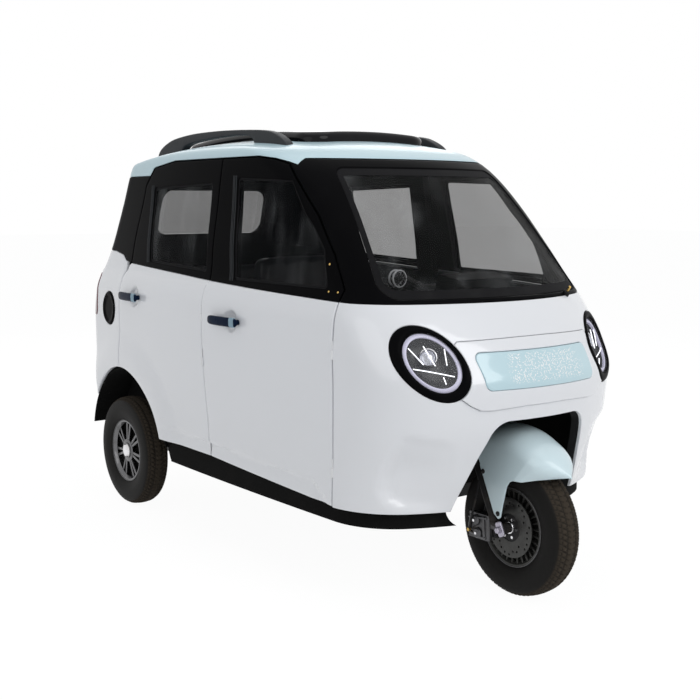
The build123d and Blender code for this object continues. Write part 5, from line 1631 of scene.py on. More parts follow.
def capped(grid: Array) -> Mesh:
    """Closed tube through rows of points, with a cap at each end."""
    rows, columns, _ = grid.shape
    faces = grid_faces(rows, columns, close_columns=True) + end_caps(rows, columns)
    return outward(Mesh(grid.reshape(-1, 3), faces))


def joined(meshes: Iterable[Mesh]) -> Mesh:
    """Several meshes as one."""
    every = list(meshes)
    out = every[0]
    for mesh in every[1:]:
        out = out.plus(mesh)
    return out


def turned(profile: Outline, at: Sequence[float], count: int = 96) -> Mesh:
    """A closed (u, r) profile turned about an axle along X: (u, r cos a, r sin a)."""
    p = np.asarray(profile, float)
    angle = around(count)
    u = np.repeat(p[:, :1], count, axis=1)
    points = np.stack([u, p[:, 1:] * np.cos(angle), p[:, 1:] * np.sin(angle)], -1)
    return looped(points + at)


def frames_along(path: Array) -> tuple[Array, Array]:
    """Two unit vectors square to a path at each of its points, without twist."""
    way = np.gradient(path, axis=0)
    way /= np.linalg.norm(way, axis=1)[:, None]
    first = np.empty_like(way)
    guess = np.array([0.0, 0.0, 1.0]) if abs(way[0, 2]) < 0.8 else np.array([1.0, 0.0, 0.0])
    for i, t in enumerate(way):
        guess = guess - t * (guess @ t)
        guess /= np.linalg.norm(guess)
        first[i] = guess
    return first, np.cross(way, first)


def swept(path: Array, section: Array) -> Mesh:
    """A closed section carried along an open path, with caps.

    Args:
        path: Points (n, 3).
        section: Points (m, 2), or (n, m, 2) where it changes along the path.

    Returns:
        The closed solid.
    """
    path = np.asarray(path, float)
    first, second = frames_along(path)
    shape = np.broadcast_to(section, (len(path), *np.shape(section)[-2:]))
    points = (path[:, None] + shape[..., :1] * first[:, None] + shape[..., 1:] * second[:, None])
    return capped(points)


def tube(path: Outline, radius: float, sides: int = 18, step: float = 12.0) -> Mesh:
    """A round bar along a path, its ends drawn in by a small chamfer."""
    line = dense(np.asarray(path, float), step, False) if len(path) > 2 else np.linspace(*path, 6)
    along = run_length(line)
    end = min(2.0, radius * 0.3)
    inner = np.clip(np.minimum(along, along[-1] - along), 0, end) / end
    extra = [line[0] + (line[1] - line[0]) * end / along[1],
             line[-1] - (line[-1] - line[-2]) * end / (along[-1] - along[-2])]
    line = np.vstack([line[:1], extra[:1], line[1:-1], extra[1:], line[-1:]])
    inner = np.concatenate([[0], np.ones(len(line) - 2), [0]])
    size = radius - end * (1 - inner)
    return swept(line, size[:, None, None] * circle((0, 0), 1.0, sides)[None])


def bent(points: Outline, count: int = 40, rounds: int = 3) -> Array:
    """A smooth line through corners, by cutting corners a few times over."""
    p = np.asarray(points, float)
    for _ in range(rounds):
        a, b = p[:-1] * 0.75 + p[1:] * 0.25, p[:-1] * 0.25 + p[1:] * 0.75
        p = np.vstack([p[:1], np.stack([a, b], 1).reshape(-1, p.shape[1])[1:-1], p[-1:]])
    along = run_length(p)
    even = np.linspace(0, along[-1], count)
    return np.stack([np.interp(even, along, p[:, k]) for k in range(p.shape[1])], 1)


def plate(loops: Sequence[Array], low: float, high: float, axes: str = "xyz",
          roll: float = 1.5, step: float = 12.0) -> Mesh:
    """A flat plate with rounded upper edges, its outline in the first two axes."""
    net = flat_net(loops, step, (0.4 * roll, 1.1 * roll))
    drop = rolled(net.edge, roll)
    columns = [net.points[:, 0], net.points[:, 1]]

    def at(height: Array) -> Array:
        three = dict(zip(axes, (*columns, height)))
        return np.stack([three[k] for k in "xyz"], 1)

    both = sheet_mesh(net, at(high - np.sign(high - low) * drop), at(low + 0 * drop))
    return outward(both)


def slab_between(two: Array) -> Mesh:
    """Closed plate between two grids of points, shaped (2, rows, columns, 3)."""
    _, rows, columns, _ = two.shape
    count = rows * columns
    faces = grid_faces(rows, columns)
    faces += [tuple(i + count for i in reversed(face)) for face in grid_faces(rows, columns)]
    index = np.arange(count).reshape(rows, columns)
    rim = np.concatenate([index[0], index[1:, -1], index[-1, -2::-1], index[-2:0:-1, 0]])
    for a, b in zip(rim.tolist(), np.roll(rim, -1).tolist()):
        faces.append((b, a, a + count, b + count))
    return outward(Mesh(two.reshape(-1, 3), faces))


# ------------------------------------------------------------------- headlamps
@dataclass
class Headlamp:
    """Left headlamp; the right one is its mirror image.

    Everything is placed by flat coordinates (u, v) on the lamp's plane and a height
    along its aim over the skin.
    """

    bezel: Outline = ((0.0, -26.0), (0.0, -3.0), (0.04, 1.0), (0.14, 4.2), (0.34, 5.0),
                      (0.62, 4.2), (0.84, 1.5), (0.95, -3.0), (1.0, -8.0), (1.0, -24.0))
    halo: Outline = ((0.04, -18), (0.04, -10), (0.3, -8.5), (0.75, -8.5), (1, -10), (1, -18))
    seat: Outline = ((0, -46), (0, -26), (0.3, -22), (0.8, -24), (1, -30), (1, -46))
    halo_hole: float = 0.86
    halo_lean: float = 0.74
    lens_heights: tuple[float, float] = (-3.0, -6.0)
    bowl_heights: tuple[float, float] = (-16.0, -20.0)
    bowl_depth: float = 34.0
    eye_heights: tuple[float, float] = (-34.0, -44.0)
    eye_crown: float = 14.0
    strip_height: float = -13.0
    strip_drop: float = 5.0
    strip_radius: float = 1.7
    projector_at: tuple[float, float] = (8.0, 31.0)
    projector_radius: float = 29.0
    strips: tuple[tuple[float, ...], ...] = (
        (71, 57, 26, 4), (24, 63, -10, 0), (-42, 54, -47, 2), (60, -10, -68, -34),
        (-32, -37, -40, -58))

    def at(self, u: Array, v: Array, height: Array | float) -> Array:
        """Points over the skin by a height along the aim."""
        return LAMP.on_skin(np.asarray(u, float), np.asarray(v, float)) + np.multiply.outer(
            np.asarray(height, float) + 0 * np.asarray(u, float), LAMP.aim).reshape(
                *np.shape(u), 3)

    def ring(self, outer: Oval, inner: Oval, profile: Outline, count: int = 96) -> Mesh:
        """A ring between two ovals; the profile is (share of its width, height)."""
        p = np.asarray(profile, float)
        angle = around(count)
        u, v = (np.stack(rows) for rows in zip(*(outer.between(inner, share).points(angle)
                                                 for share in p[:, 0])))
        return looped(self.at(u, v, np.repeat(p[:, 1:], count, axis=1)))

    def disc(self, rim: Oval, front: Callable[[Array], Array],
             back: Callable[[Array], Array]) -> Mesh:
        """A closed oval body between two heights that depend on the share of its radius."""
        share = np.linspace(0.02, 1, 14)[:, None]
        edge_u, edge_v = rim.points(around(64))
        u = rim.u + (edge_u - rim.u) * share
        v = rim.v + (edge_v - rim.v) * share
        flat = share + 0 * edge_u
        return capped(np.concatenate([self.at(u, v, front(flat)),
                                      self.at(u, v, back(flat))[::-1]]))

    def pieces(self, f: Finishes) -> list[tuple[str, Mesh, bpy.types.Material, Slot,
                                                  tuple[str, ...]]]:
        """All pieces of one lamp."""
        oval, hole = LENS_OVAL, self.halo_hole
        hollow = Oval(oval.u, oval.v, oval.half_width * hole, oval.half_height * hole,
                      oval.lean * self.halo_lean)
        (lens_front, lens_back), (bowl_front, bowl_back) = self.lens_heights, self.bowl_heights
        eye_front, eye_back = self.eye_heights
        bezel = self.ring(BEZEL_OVAL, oval, self.bezel)
        lens = self.disc(oval, lambda s: lens_front + 0 * s, lambda s: lens_back + 0 * s)
        halo = self.ring(oval, hollow, self.halo)
        bowl = self.disc(oval, lambda s: bowl_front - self.bowl_depth * (1 - s ** 4),
                         lambda s: bowl_back - self.bowl_depth + 0 * s)
        seat = self.ring_at_projector(self.seat)
        radius = self.projector_radius - 4
        eye = self.disc(Oval(*self.projector_at, radius, radius, 0.0),
                        lambda s: eye_front + self.eye_crown * np.sqrt(np.maximum(1 - s * s, 0)),
                        lambda s: eye_back + 0 * s)
        bars = [self.bar(*strip) for strip in self.strips]
        return [("bezel", bezel, f.gloss, Slot.BLACK_GLOSS, ("headlamp_bezels",)),
                ("lens", lens, f.lens, Slot.LAMP, ("headlamp_lenses",)),
                ("halo", halo, f.halo, Slot.LAMP, ()),
                ("bowl", bowl, f.bowl, Slot.PLASTIC, ()),
                ("projector_seat", seat, f.chrome, Slot.BRIGHT, ()),
                ("projector_eye", eye, f.eye, Slot.LAMP, ()),
                ("light_strips", joined(bars), f.strip, Slot.LAMP, ())]

    def ring_at_projector(self, profile: Outline) -> Mesh:
        """Turned seat round the projector's eye."""
        p = np.asarray(profile, float)
        angle = around(48)
        radius = self.projector_radius - 5.0 * p[:, :1]
        u = self.projector_at[0] + radius * np.cos(angle)
        v = self.projector_at[1] + radius * np.sin(angle)
        return looped(self.at(u, v, np.repeat(p[:, 1:], 48, axis=1)))

    def bar(self, u0: float, v0: float, u1: float, v1: float) -> Mesh:
        """One straight light strip."""
        t = np.linspace(0, 1, 9)
        path = self.at(u0 + (u1 - u0) * t, v0 + (v1 - v0) * t,
                       self.strip_height - self.strip_drop * t)
        return swept(path, circle((0, 0), self.strip_radius, 8))

    def build(self, f: Finishes) -> None:
        """Makes both lamps."""
        for name, mesh, material, slot, nodes in self.pieces(f):
            make_object(f"headlamp_{name}", mesh.plus(mesh.mirrored()), material, slot, "body",
                        nodes)


# --------------------------------------------------------------------- wheels
@dataclass
class Wheel:
    """A 10 inch wheel: tyre with cut tread, and a rim."""

    x: float
    y: float
    half: float = 52.5
    top: float = AXLE_Z
    bead: float = 127.3
    blocks: int = 76
    groove: float = 5.0

    def at(self) -> tuple[float, float, float]:
        """Middle of the wheel."""
        return (self.x, self.y, self.top)

    def tyre_profile(self, count: int = 60) -> tuple[Array, Array]:
        """Closed profile (u, r) of the tyre, and how far each point is on the tread."""
        h, t, b = self.half, self.top, self.bead
        outer = bent([(-h * 0.62, b), (-h * 0.84, b + 12), (-h * 1.0, b + 40), (-h * 1.0, t - 40),
                      (-h * 0.93, t - 17), (-h * 0.70, t - 4.5), (-h * 0.36, t - 0.4), (0, t + 0.3),
                      (h * 0.36, t - 0.4), (h * 0.70, t - 4.5), (h * 0.93, t - 17),
                      (h * 1.0, t - 40), (h * 1.0, b + 40), (h * 0.84, b + 12),
                      (h * 0.62, b)], count, 3)
        inner = bent([(h * 0.50, b), (h * 0.70, b + 22), (h * 0.78, t - 60), (0, t - 22),
                      (-h * 0.78, t - 60), (-h * 0.70, b + 22), (-h * 0.50, b)], 16, 2)
        tread = smooth_step(outer[:, 1], t - 17, t - 8)
        return np.vstack([outer, inner]), np.concatenate([tread, np.zeros(len(inner))])

    def tyre(self, columns: int = 608) -> tuple[Mesh, Array]:
        """Tyre mesh and its tread share.

        The tread is lowered by pulses: two zigzag grooves round the wheel, and
        slanted cuts whose place along the wheel moves with the distance from the
        middle, so that they meet in a V.
        """
        profile, tread = self.tyre_profile()
        angle = around(columns)
        u = np.abs(profile[:, :1]) / self.half
        turn = angle[None, :] / tau * self.blocks
        zigzag = 0.035 * np.abs(turn % 1.0 - 0.5) * 4
        line = np.exp(-((u - 0.30 - zigzag) / 0.045) ** 2) + np.exp(
            -((u - 0.64 - zigzag * 0.6) / 0.035) ** 2)
        phase = (turn + 1.6 * u) % 1.0
        slant = 1 - smooth_step(np.abs(phase - 0.5), 0.05, 0.15)
        slant = slant * smooth_step(u, 0.05, 0.12)
        second = (turn + 0.5 - 0.9 * u) % 1.0
        fine = 0.5 * (1 - smooth_step(np.abs(second - 0.5), 0.04, 0.10)) * smooth_step(u, 0.3, 0.4)
        cut = np.clip(np.maximum.reduce([line, slant * 0.9, fine]), 0, 1) * tread[:, None]
        ribs = 0.8 * (1 - smooth_step(np.abs(profile[:, 1:] - (self.bead + 16)), 1.5, 4.0))
        ribs = ribs * (profile[:, 1:] > 0)
        r = profile[:, 1:] - self.groove * cut
        wide = profile[:, :1] + np.sign(profile[:, :1]) * ribs * (tread[:, None] < 0.5) * 0.5
        points = np.stack([wide + 0 * r, r * np.cos(angle), r * np.sin(angle)], -1)
        # Painted shade: the tread's brown share drops in the cuts, so the grooves come out darker.
        share = tread[:, None] * (1 - 0.75 * cut)
        return looped(points + self.at()), share.ravel()

    def build_tyre(self, f: Finishes, name: str, body: str) -> None:
        """Makes the tyre."""
        mesh, share = self.tyre()
        obj = make_object(f"{name}_rubber", mesh, f.rubber, Slot.TYRE, body, (name,), 50.0)
        layer = obj.data.attributes.new("tread", "FLOAT", "POINT")
        layer.data.foreach_set("value", share.astype(np.float32))

    def spoke(self, angle: float, x0: float, x1: float, width: tuple[float, float],
              reach: tuple[float, float], thick: float) -> Mesh:
        """A tapered radial bar with rounded edges, from the hub to the rim."""
        r = np.linspace(reach[0], reach[1], 7)
        t = (r - reach[0]) / (reach[1] - reach[0])
        x = x0 + (x1 - x0) * t ** 1.4
        half = (width[0] + (width[1] - width[0]) * t) / 2
        ring = rounded([(-1, -1), (1, -1), (1, 1), (-1, 1)], 0.5, 3)
        section = ring[None] * np.stack([half, half * 0 + thick / 2], 1)[:, None]
        points = np.stack([x[:, None] + section[..., 1],
                           section[..., 0], r[:, None] + 0 * section[..., 0]], -1)
        c, s = cos(angle), sin(angle)
        spun = points @ np.array([[1, 0, 0], [0, c, s], [0, -s, c]])
        return capped(spun + self.at())

    def collar(self, ends: tuple[float, float], radii: tuple[float, float], corner: float = 3,
               count: int = 60) -> Mesh:
        """A turned ring about the axle, its section a rectangle with rounded corners."""
        (low, high), (inner, outer) = ends, radii
        profile = [(low, inner), (high, inner), (high, outer), (low, outer)]
        return turned(rounded(profile, corner, 3), self.at(), count)

    def barrel(self) -> Mesh:
        """Rim barrel with its two flanges."""
        h, b = self.half * 0.62, self.bead - 0.3
        profile = rounded([(-h - 6, b + 6), (-h - 1, b + 5.5), (-h + 1, b), (h - 1, b),
                           (h + 1, b + 5.5), (h + 6, b + 6), (h + 6, b - 4), (h - 6, b - 12),
                           (-h + 6, b - 12), (-h - 6, b - 4)], 2.0, 3)
        return turned(profile, self.at(), 120)


@dataclass
class FrontWheel(Wheel):
    """Front wheel: radial fins behind a thin bright ring, drilled disc, bright nuts."""

    fins: int = 30
    fin_x: tuple[float, float] = (-22, -27)
    fin_width: tuple[float, float] = (4.5, 6.0)
    fin_reach: tuple[float, float] = (58, 119)
    fin_depth: float = 14.0
    disc_x: float = -45.0
    disc_radius: float = 100.0

    def build(self, f: Finishes) -> None:
        """Makes the wheel."""
        self.build_tyre(f, "front_tyre", "front_wheel")
        parts = [self.barrel(), self.collar((-36, 38), (12, 34))]
        for i in range(self.fins):
            parts.append(self.spoke(tau * i / self.fins, *self.fin_x, self.fin_width,
                                    self.fin_reach, self.fin_depth))
        parts.append(self.collar((-22, 10), (30, 62), 4, 72))
        parts.append(turned([(-12, 58), (-8, 58), (-8, 119), (-12, 119)], self.at(), 96))
        make_object("front_rim_casting", joined(parts), f.alloy, Slot.ALLOY, "front_wheel",
                    ("front_rim",))
        edge = self.bead + 3.2
        ring = turned(circle((-self.half * 0.62 - 5.6, edge), 2.3, 10), self.at(), 120)
        make_object("front_rim_ring", ring, f.castings, Slot.ALLOY, "front_wheel")
        self.disc(f)

    def disc(self, f: Finishes) -> None:
        """Drilled brake disc with its carrier and nuts."""
        centre = (self.y, self.top)
        holes = [circle((self.y + r * cos(a), self.top + r * sin(a)), 3.6, 12)
                 for k in range(14) for r, a in ((70 + 9 * (k % 3), tau * k / 14),
                                                 (90 - 8 * (k % 2), tau * (k + 0.5) / 14))]
        disc = plate([circle(centre, self.disc_radius, 96), circle(centre, 46, 60), *holes],
                     self.disc_x + 2, self.disc_x - 2, "yzx", 0.6, 14.0)
        make_object("front_brake_disc", disc, f.disc, Slot.STEEL, "front_wheel")
        carrier = self.collar((-45.5, -34), (10.4, 48), count=72)
        make_object("front_disc_carrier", carrier, f.steel, Slot.STEEL, "front_wheel")
        nuts = []
        for k in range(6):
            a = tau * k / 6
            at = (self.x - 50, self.y + 33 * cos(a), self.top + 33 * sin(a))
            nuts.append(turned([(-2.5, 0.4), (-2.5, 5.2), (5, 5.2), (5, 0.4)], at, 6))
        nuts.append(turned(rounded([(-52, 10.4), (-45, 10.4), (-45, 22), (-52, 20)], 1.5, 3),
                           self.at(), 40))
        make_object("front_hub_nuts", joined(nuts), f.chrome, Slot.BRIGHT, "front_wheel")


@dataclass
class RearWheel(Wheel):
    """Rear wheel: paired spokes and a bright centre cap, outwards on its own side."""

    pairs: int = 7
    spread: float = 0.13
    face_x: float = 20.0
    spoke_width: tuple[float, float] = (11, 13)
    spoke_reach: tuple[float, float] = (24, 120)
    spoke_depth: float = 13.0

    def build(self, f: Finishes) -> None:
        """Makes the wheel."""
        left = self.x > 0
        word = "left" if left else "right"
        body, out = f"rear_wheel_{word}", 1.0 if left else -1.0
        self.build_tyre(f, f"rear_tyre_{word}", body)
        face = self.face_x * out
        parts = [self.barrel(), self.collar((-38, 38), (14.5, 34))]
        for i in range(self.pairs):
            for spread in (-self.spread, self.spread):
                angle = tau * (i / self.pairs) + spread
                parts.append(self.spoke(angle, face + 6 * out, face, self.spoke_width,
                                        self.spoke_reach, self.spoke_depth))
        flat = sorted((face - 6 * out, face + 14 * out))
        parts.append(turned(rounded([(flat[0], 15), (flat[1], 15), (flat[1], 44), (flat[0], 50)],
                                    4, 3), self.at(), 72))
        make_object(f"rear_rim_casting_{word}", joined(parts), f.rim, Slot.ALLOY, body,
                    (f"rear_rim_{word}",))
        edge = self.bead + 3.0
        ring = turned(circle(((self.half * 0.62 + 5.6) * out, edge), 2.3, 10), self.at(), 120)
        profile = [(face + 13 * out, 0.5), (face + 13 * out, 27), (face + 17 * out, 28),
                   (face + 24 * out, 24), (face + 27 * out, 14), (face + 28 * out, 0.5)]
        cap = turned(profile, self.at(), 60)
        make_object(f"rear_rim_trim_{word}", cap, f.chrome, Slot.ALLOY, body)
        make_object(f"rear_rim_ring_{word}", ring, f.castings, Slot.ALLOY, body)
        # Painted shade, in part: a backing plate behind the spokes in matte black liner, so that
        # the rim's cavities come out dark.
        near, far = sorted((face - 12 * out, face - 8 * out))
        dish = turned([(near, 42), (far, 42), (far, 119), (near, 119)], self.at(), 96)
        make_object(f"rear_rim_dish_{word}", dish, f.liner, Slot.ALLOY, body)


# -------------------------------------------------------------- small fittings
@dataclass
class DoorHandle:
    """Pull handle of a door: a bowed blade on two feet, part of it under film."""

    name: str
    y: float
    z: float
    length: float = 190.0
    height: float = 33.0
    gap: float = 17.0
    thick: float = 13.0

    def skin_x(self, y: Array, z: float) -> Array:
        """How far out the skin is at stations y."""
        n = SKIN.share_of_y(y, 0 * y + z)
        return SKIN.place(n, 0 * y + z)[0][:, 0]

    def build(self, f: Finishes, side: Side) -> None:
        """Makes the handle of one side."""
        body = f"{self.name}_door_{side.word}"
        t = np.linspace(-1, 1, 41)
        y = self.y + t * (self.length / 2 - 0.5)
        x = self.skin_x(y, self.z) + self.gap + self.thick / 2
        taper = np.sqrt(np.maximum(1 - np.abs(t) ** 9, 0.02))
        path = np.stack([x - 5.0 * np.abs(t) ** 3, y, 0 * y + self.z], 1)
        ring = np.array([(np.sign(cos(a)) * abs(cos(a)) ** 0.6 * self.height / 2,
                          np.sign(sin(a)) * abs(sin(a)) ** 0.7 * self.thick / 2)
                         for a in around(24)])
        blade = swept(path, ring[None] * taper[:, None, None])
        feet = []
        for s in (-1, 1):
            foot_y = self.y + s * (self.length / 2 - 22)
            base = float(self.skin_x(np.array([foot_y]), self.z)[0])
            line = [(base - 1, foot_y, self.z), (base + self.gap + 5, foot_y - s * 2, self.z)]
            feet.append(swept(np.linspace(*np.array(line), 6), circle((0, 0), 9.5, 20)))
        mesh = joined([blade, *feet])
        film = swept(path[3:9] + (0.35, 0, 0), ring * 1.04)
        make_object(f"{body}_pull", side.of(mesh), f.navy, Slot.HANDLE, body,
                    (f"{self.name}_door_handle_{side.word}",))
        make_object(f"{body}_pull_film", side.of(film), f.film, Slot.HANDLE, body)


@dataclass
class RoofFittings:
    """Raised dark lid of the roof and the two rails."""

    lid: Outline = ((-285, -215), (285, -215), (285, 720), (-285, 720))
    corner: float = 90.0
    proud: float = 32.0
    rail_x: float = 358.0
    rail_half: float = 18.0
    rail_line: Outline = ((775, 1440), (762, 1487), (725, 1511), (646, 1536), (543, 1547),
                          (438, 1553), (244, 1554), (63, 1548), (-73, 1540), (-138, 1522),
                          (-205, 1488), (-220, 1440))
    rail_gap: Outline = ((562, 1440), (562, 1492), (530, 1508), (480, 1516), (320, 1528),
                         (170, 1531), (63, 1528), (30, 1518), (9, 1498), (5, 1440))

    def build(self, f: Finishes) -> None:
        """Makes the lid and the rails."""
        net = flat_net([rounded(self.lid, self.corner, 12)], 24.0,
                       (1.0, 3.0, 6.0, 10.0, 15.0, 22.0))
        x, y = net.points.T
        top = SKIN.dome(x, y) + self.proud - rolled(net.edge, 22.0) * 1.1
        low = SKIN.dome(x, y) - 6.0
        mesh = sheet_mesh(net, np.stack([x, y, top], 1), np.stack([x, y, low], 1))
        make_object("roof_lid", outward(mesh), f.roof_glass, Slot.BLACK_GLOSS, "body",
                    ("sunroof_panel",))
        self.rails(f)

    def rails(self, f: Finishes) -> None:
        """Both rails: bars with rounded edges that run down into wide feet."""
        loop = np.vstack([bent(self.rail_line, 80, 2), bent(self.rail_gap, 50, 2)[::-1]])
        net = flat_net([loop], 14.0, (0.8, 2.2, 4.5))
        drop = rolled(net.edge, 5.0) * (net.points[:, 1] > 1441)
        half = self.rail_half - drop

        def at(sign: float) -> Array:
            lean = -0.10 * (net.points[:, 1] - 1500)
            return np.stack([self.rail_x + lean * 0.5 + sign * half, net.points[:, 0],
                             net.points[:, 1]], 1)

        rail = outward(sheet_mesh(net, at(1.0), at(-1.0)))
        make_object("roof_rail_bars", rail.plus(rail.mirrored()), f.rail, Slot.RAIL, "body",
                    ("roof_rails",))


@dataclass
class Fender:
    """Crowned fender with a pointed beak and a leg down to each end of the axle.

    Across a ray from its centre the section is a quarter superellipse on each side,
    x = w sin(p)^0.9 and r = s + (top - s) cos(p)^0.9, then a flat side to the hem.
    """

    centre: tuple[float, float] = (-971.5, 299.7)
    start: float = 63.5
    end: float = 152.8
    crown: Outline = ((63, 267), (95, 265), (120, 268), (140, 278), (153, 285))
    width: Outline = ((63, 89.5), (130, 89.5), (137, 84.5), (143, 70), (148, 46), (153, 5))
    hem: Outline = ((63, 402), (139, 402), (153, 432))
    flat_drop: float = 64.0
    sheet: float = 3.5
    leg_walls: tuple[float, float] = (84.8, 89.2)
    leg: Outline = ((-900.6, 432.2), (-972.5, 278.1), (-994, 262), (-1003, 270), (-1012, 313),
                    (-1028, 376), (-1040, 394), (-1056, 402), (-1070, 404), (-1070, 432))

    def section(self, angle: float, count: int = 61) -> Array:
        """One section from hem to hem, evenly spaced."""
        top, wide, low = (float(np.interp(angle, *np.array(table, float).T))
                          for table in (self.crown, self.width, self.hem))
        ray = radians(angle)
        hem_radius = (low - self.centre[1]) / sin(ray)
        side = top - self.flat_drop
        p = np.linspace(pi / 2, 0, 90)
        x = wide * np.sin(p) ** 0.9
        r = side + (top - side) * np.maximum(np.cos(p), 0) ** 0.9
        x, r = np.concatenate([[wide], x]), np.concatenate([[min(hem_radius, side - 1)], r])
        keep = r > hem_radius
        x = np.concatenate([[np.interp(hem_radius, r, x)], x[keep]])
        r = np.concatenate([[hem_radius], r[keep]])
        if len(r) < 3:
            x, r = np.array([wide, wide / 2, 0.0]), np.array([top - 2, top - 1, top])
        along = np.concatenate([[0], np.cumsum(np.hypot(np.diff(x), np.diff(r)))])
        even = np.linspace(0, along[-1], count // 2 + 1)
        x, r = np.interp(even, along, x), np.interp(even, along, r)
        x, r = np.concatenate([x, -x[-2::-1]]), np.concatenate([r, r[-2::-1]])
        return np.stack([x, self.centre[0] + r * cos(ray), self.centre[1] + r * sin(ray)], 1)

    def build(self, f: Finishes) -> None:
        """Makes the fender."""
        share = np.linspace(0, 1, 70)
        angles = self.start + (self.end - self.start) * (1 - (1 - share) ** 1.35)
        outer = np.stack([self.section(a) for a in angles])
        along, across = np.gradient(outer, axis=0), np.gradient(outer, axis=1)
        normal = np.cross(along, across)
        normal /= np.maximum(np.linalg.norm(normal, axis=-1), 1e-9)[..., None]
        probe = len(angles) // 3, outer.shape[1] // 2
        inwards = np.array([0.0, *self.centre]) - outer[probe]
        normal *= np.sign(normal[probe] @ inwards)
        shell = slab_between(np.stack([outer, outer + normal * self.sheet]))
        leg = plate([dense(rounded(self.leg, 6.0), 5.0)], *self.leg_walls, "yzx", 1.2, 9.0)
        # Its finish is the lightened blue that paints light into the shade under the nose.
        make_object("fender_sheet", joined([shell, leg, leg.mirrored()]), f.fender, Slot.BLUE,
                    "steering", ("front_fender",), 50.0)


@dataclass
class SteeringTrim:
    """Bolts of the fender, the lug on the axle, the grips and the caliper's fittings."""

    bolts: Outline = ((-921, 408), (-993, 281))
    plate_x: float = 89.0

    def on_axis(self, up: float, ahead: float, x: float) -> Array:
        """A point up the steering axis and ahead of it."""
        a = radians(STEERING_RAKE)
        return np.array([x, STEERING_Y + up * sin(a) - ahead * cos(a),
                         AXLE_Z + up * cos(a) + ahead * sin(a)])

    def build(self, f: Finishes) -> None:
        """Makes the trim."""
        bolts = []
        for y, z in self.bolts:
            for s in (-1, 1):
                profile = [(0, 0.4), (0, 8.0), (3.0 * s, 8.0), (5.0 * s, 5.5), (5.5 * s, 0.4)]
                bolts.append(turned(profile, (s * self.plate_x, y, z), 20))
        make_object("fender_bolts", joined(bolts), f.steel, Slot.STEEL, "steering")
        lugs = []
        slant = radians(STEERING_RAKE)
        for s in (-1, 1):
            box = np.array(rounded([(-13, -24), (13, -24), (13, 26), (-13, 26)], 7.0, 5))
            y = FRONT_AXLE_Y + box[:, 0] * cos(slant) + box[:, 1] * sin(slant)
            z = AXLE_Z - box[:, 0] * sin(slant) + box[:, 1] * cos(slant)
            lugs.append(plate([np.stack([y, z], 1)], s * 86.0, s * 92.5, "yzx", 2.0, 10.0))
            nut = [(2 * s, 0.4), (2 * s, 11.5), (14 * s, 11.0), (16 * s, 8.0), (16 * s, 0.4)]
            lugs.append(turned(nut, (s * 91.0, FRONT_AXLE_Y, AXLE_Z), 6))
        make_object("axle_lugs", joined(lugs), f.lug, Slot.BRIGHT, "steering")
        self.caliper(f)
        self.grips(f)

    def caliper(self, f: Finishes) -> None:
        """Bright castings, hose and gold bolt on the caliper."""
        y, z = FRONT_AXLE_Y, AXLE_Z
        parts = [turned(rounded([(-94, 0.5), (-94, 14), (-89, 18), (-80, 18), (-80, 0.5)], 2, 3),
                        (0.0, y + 112 + dy, z - 14 + dz), 40)
                 for dy, dz in ((-4, -22), (6, 20))]
        ribs = ((66, 22, 152, 12), (70, -48, 146, -40), (84, 26, 78, -46), (140, 22, 150, -42))
        for y0, z0, y1, z1 in ribs:
            parts.append(tube([(-84, y + y0, z + z0), (-86, y + (y0 + y1) / 2, z + (z0 + z1) / 2),
                               (-84, y + y1, z + z1)], 5.5))
        make_object("caliper_castings", joined(parts), f.castings, Slot.BRIGHT, "steering")
        pins = joined(turned([(-98, 0.4), (-98, 5), (-92, 5.5), (-92, 0.4)],
                             (0.0, y + dy, z + dz), 6) for dy, dz in ((108, -36), (118, 6)))
        make_object("caliper_pins", pins, f.chrome, Slot.BRIGHT, "steering")
        bolt = turned([(-101, 0.4), (-101, 6), (-92, 6.5), (-92, 0.4)], (0.0, y + 140, z - 30), 6)
        make_object("caliper_banjo", bolt, f.gold, Slot.BRIGHT, "steering")
        hose = bent([(-96, y + 140, z - 30), (-100, y + 120, z + 30), (-84, y + 110, z + 120),
                     (-72, y + 104, z + 220), (-40, y + 128, z + 300)], 40)
        make_object("brake_pipe", tube(hose, 3.6, 10), f.steel, Slot.STEEL, "steering")

    def grips(self, f: Finishes) -> None:
        """Ribbed rubber grips over the bar's ends."""
        parts = []
        for s in (-1, 1):
            knee, tip = self.on_axis(880, 10, s * 168.2), self.on_axis(870, -60, s * 290.0)
            start = knee + (tip - knee) * 0.36
            t = np.linspace(0, 0.985, 60)
            path = start + (tip - start) * t[:, None]
            size = 17.6 + 0.9 * np.sin(t * 92) - 2.0 * (t > 0.97)
            parts.append(swept(path, size[:, None, None] * circle((0, 0), 1.0, 24)[None]))
        make_object("bar_grips", joined(parts), f.seal, Slot.PLASTIC, "steering")


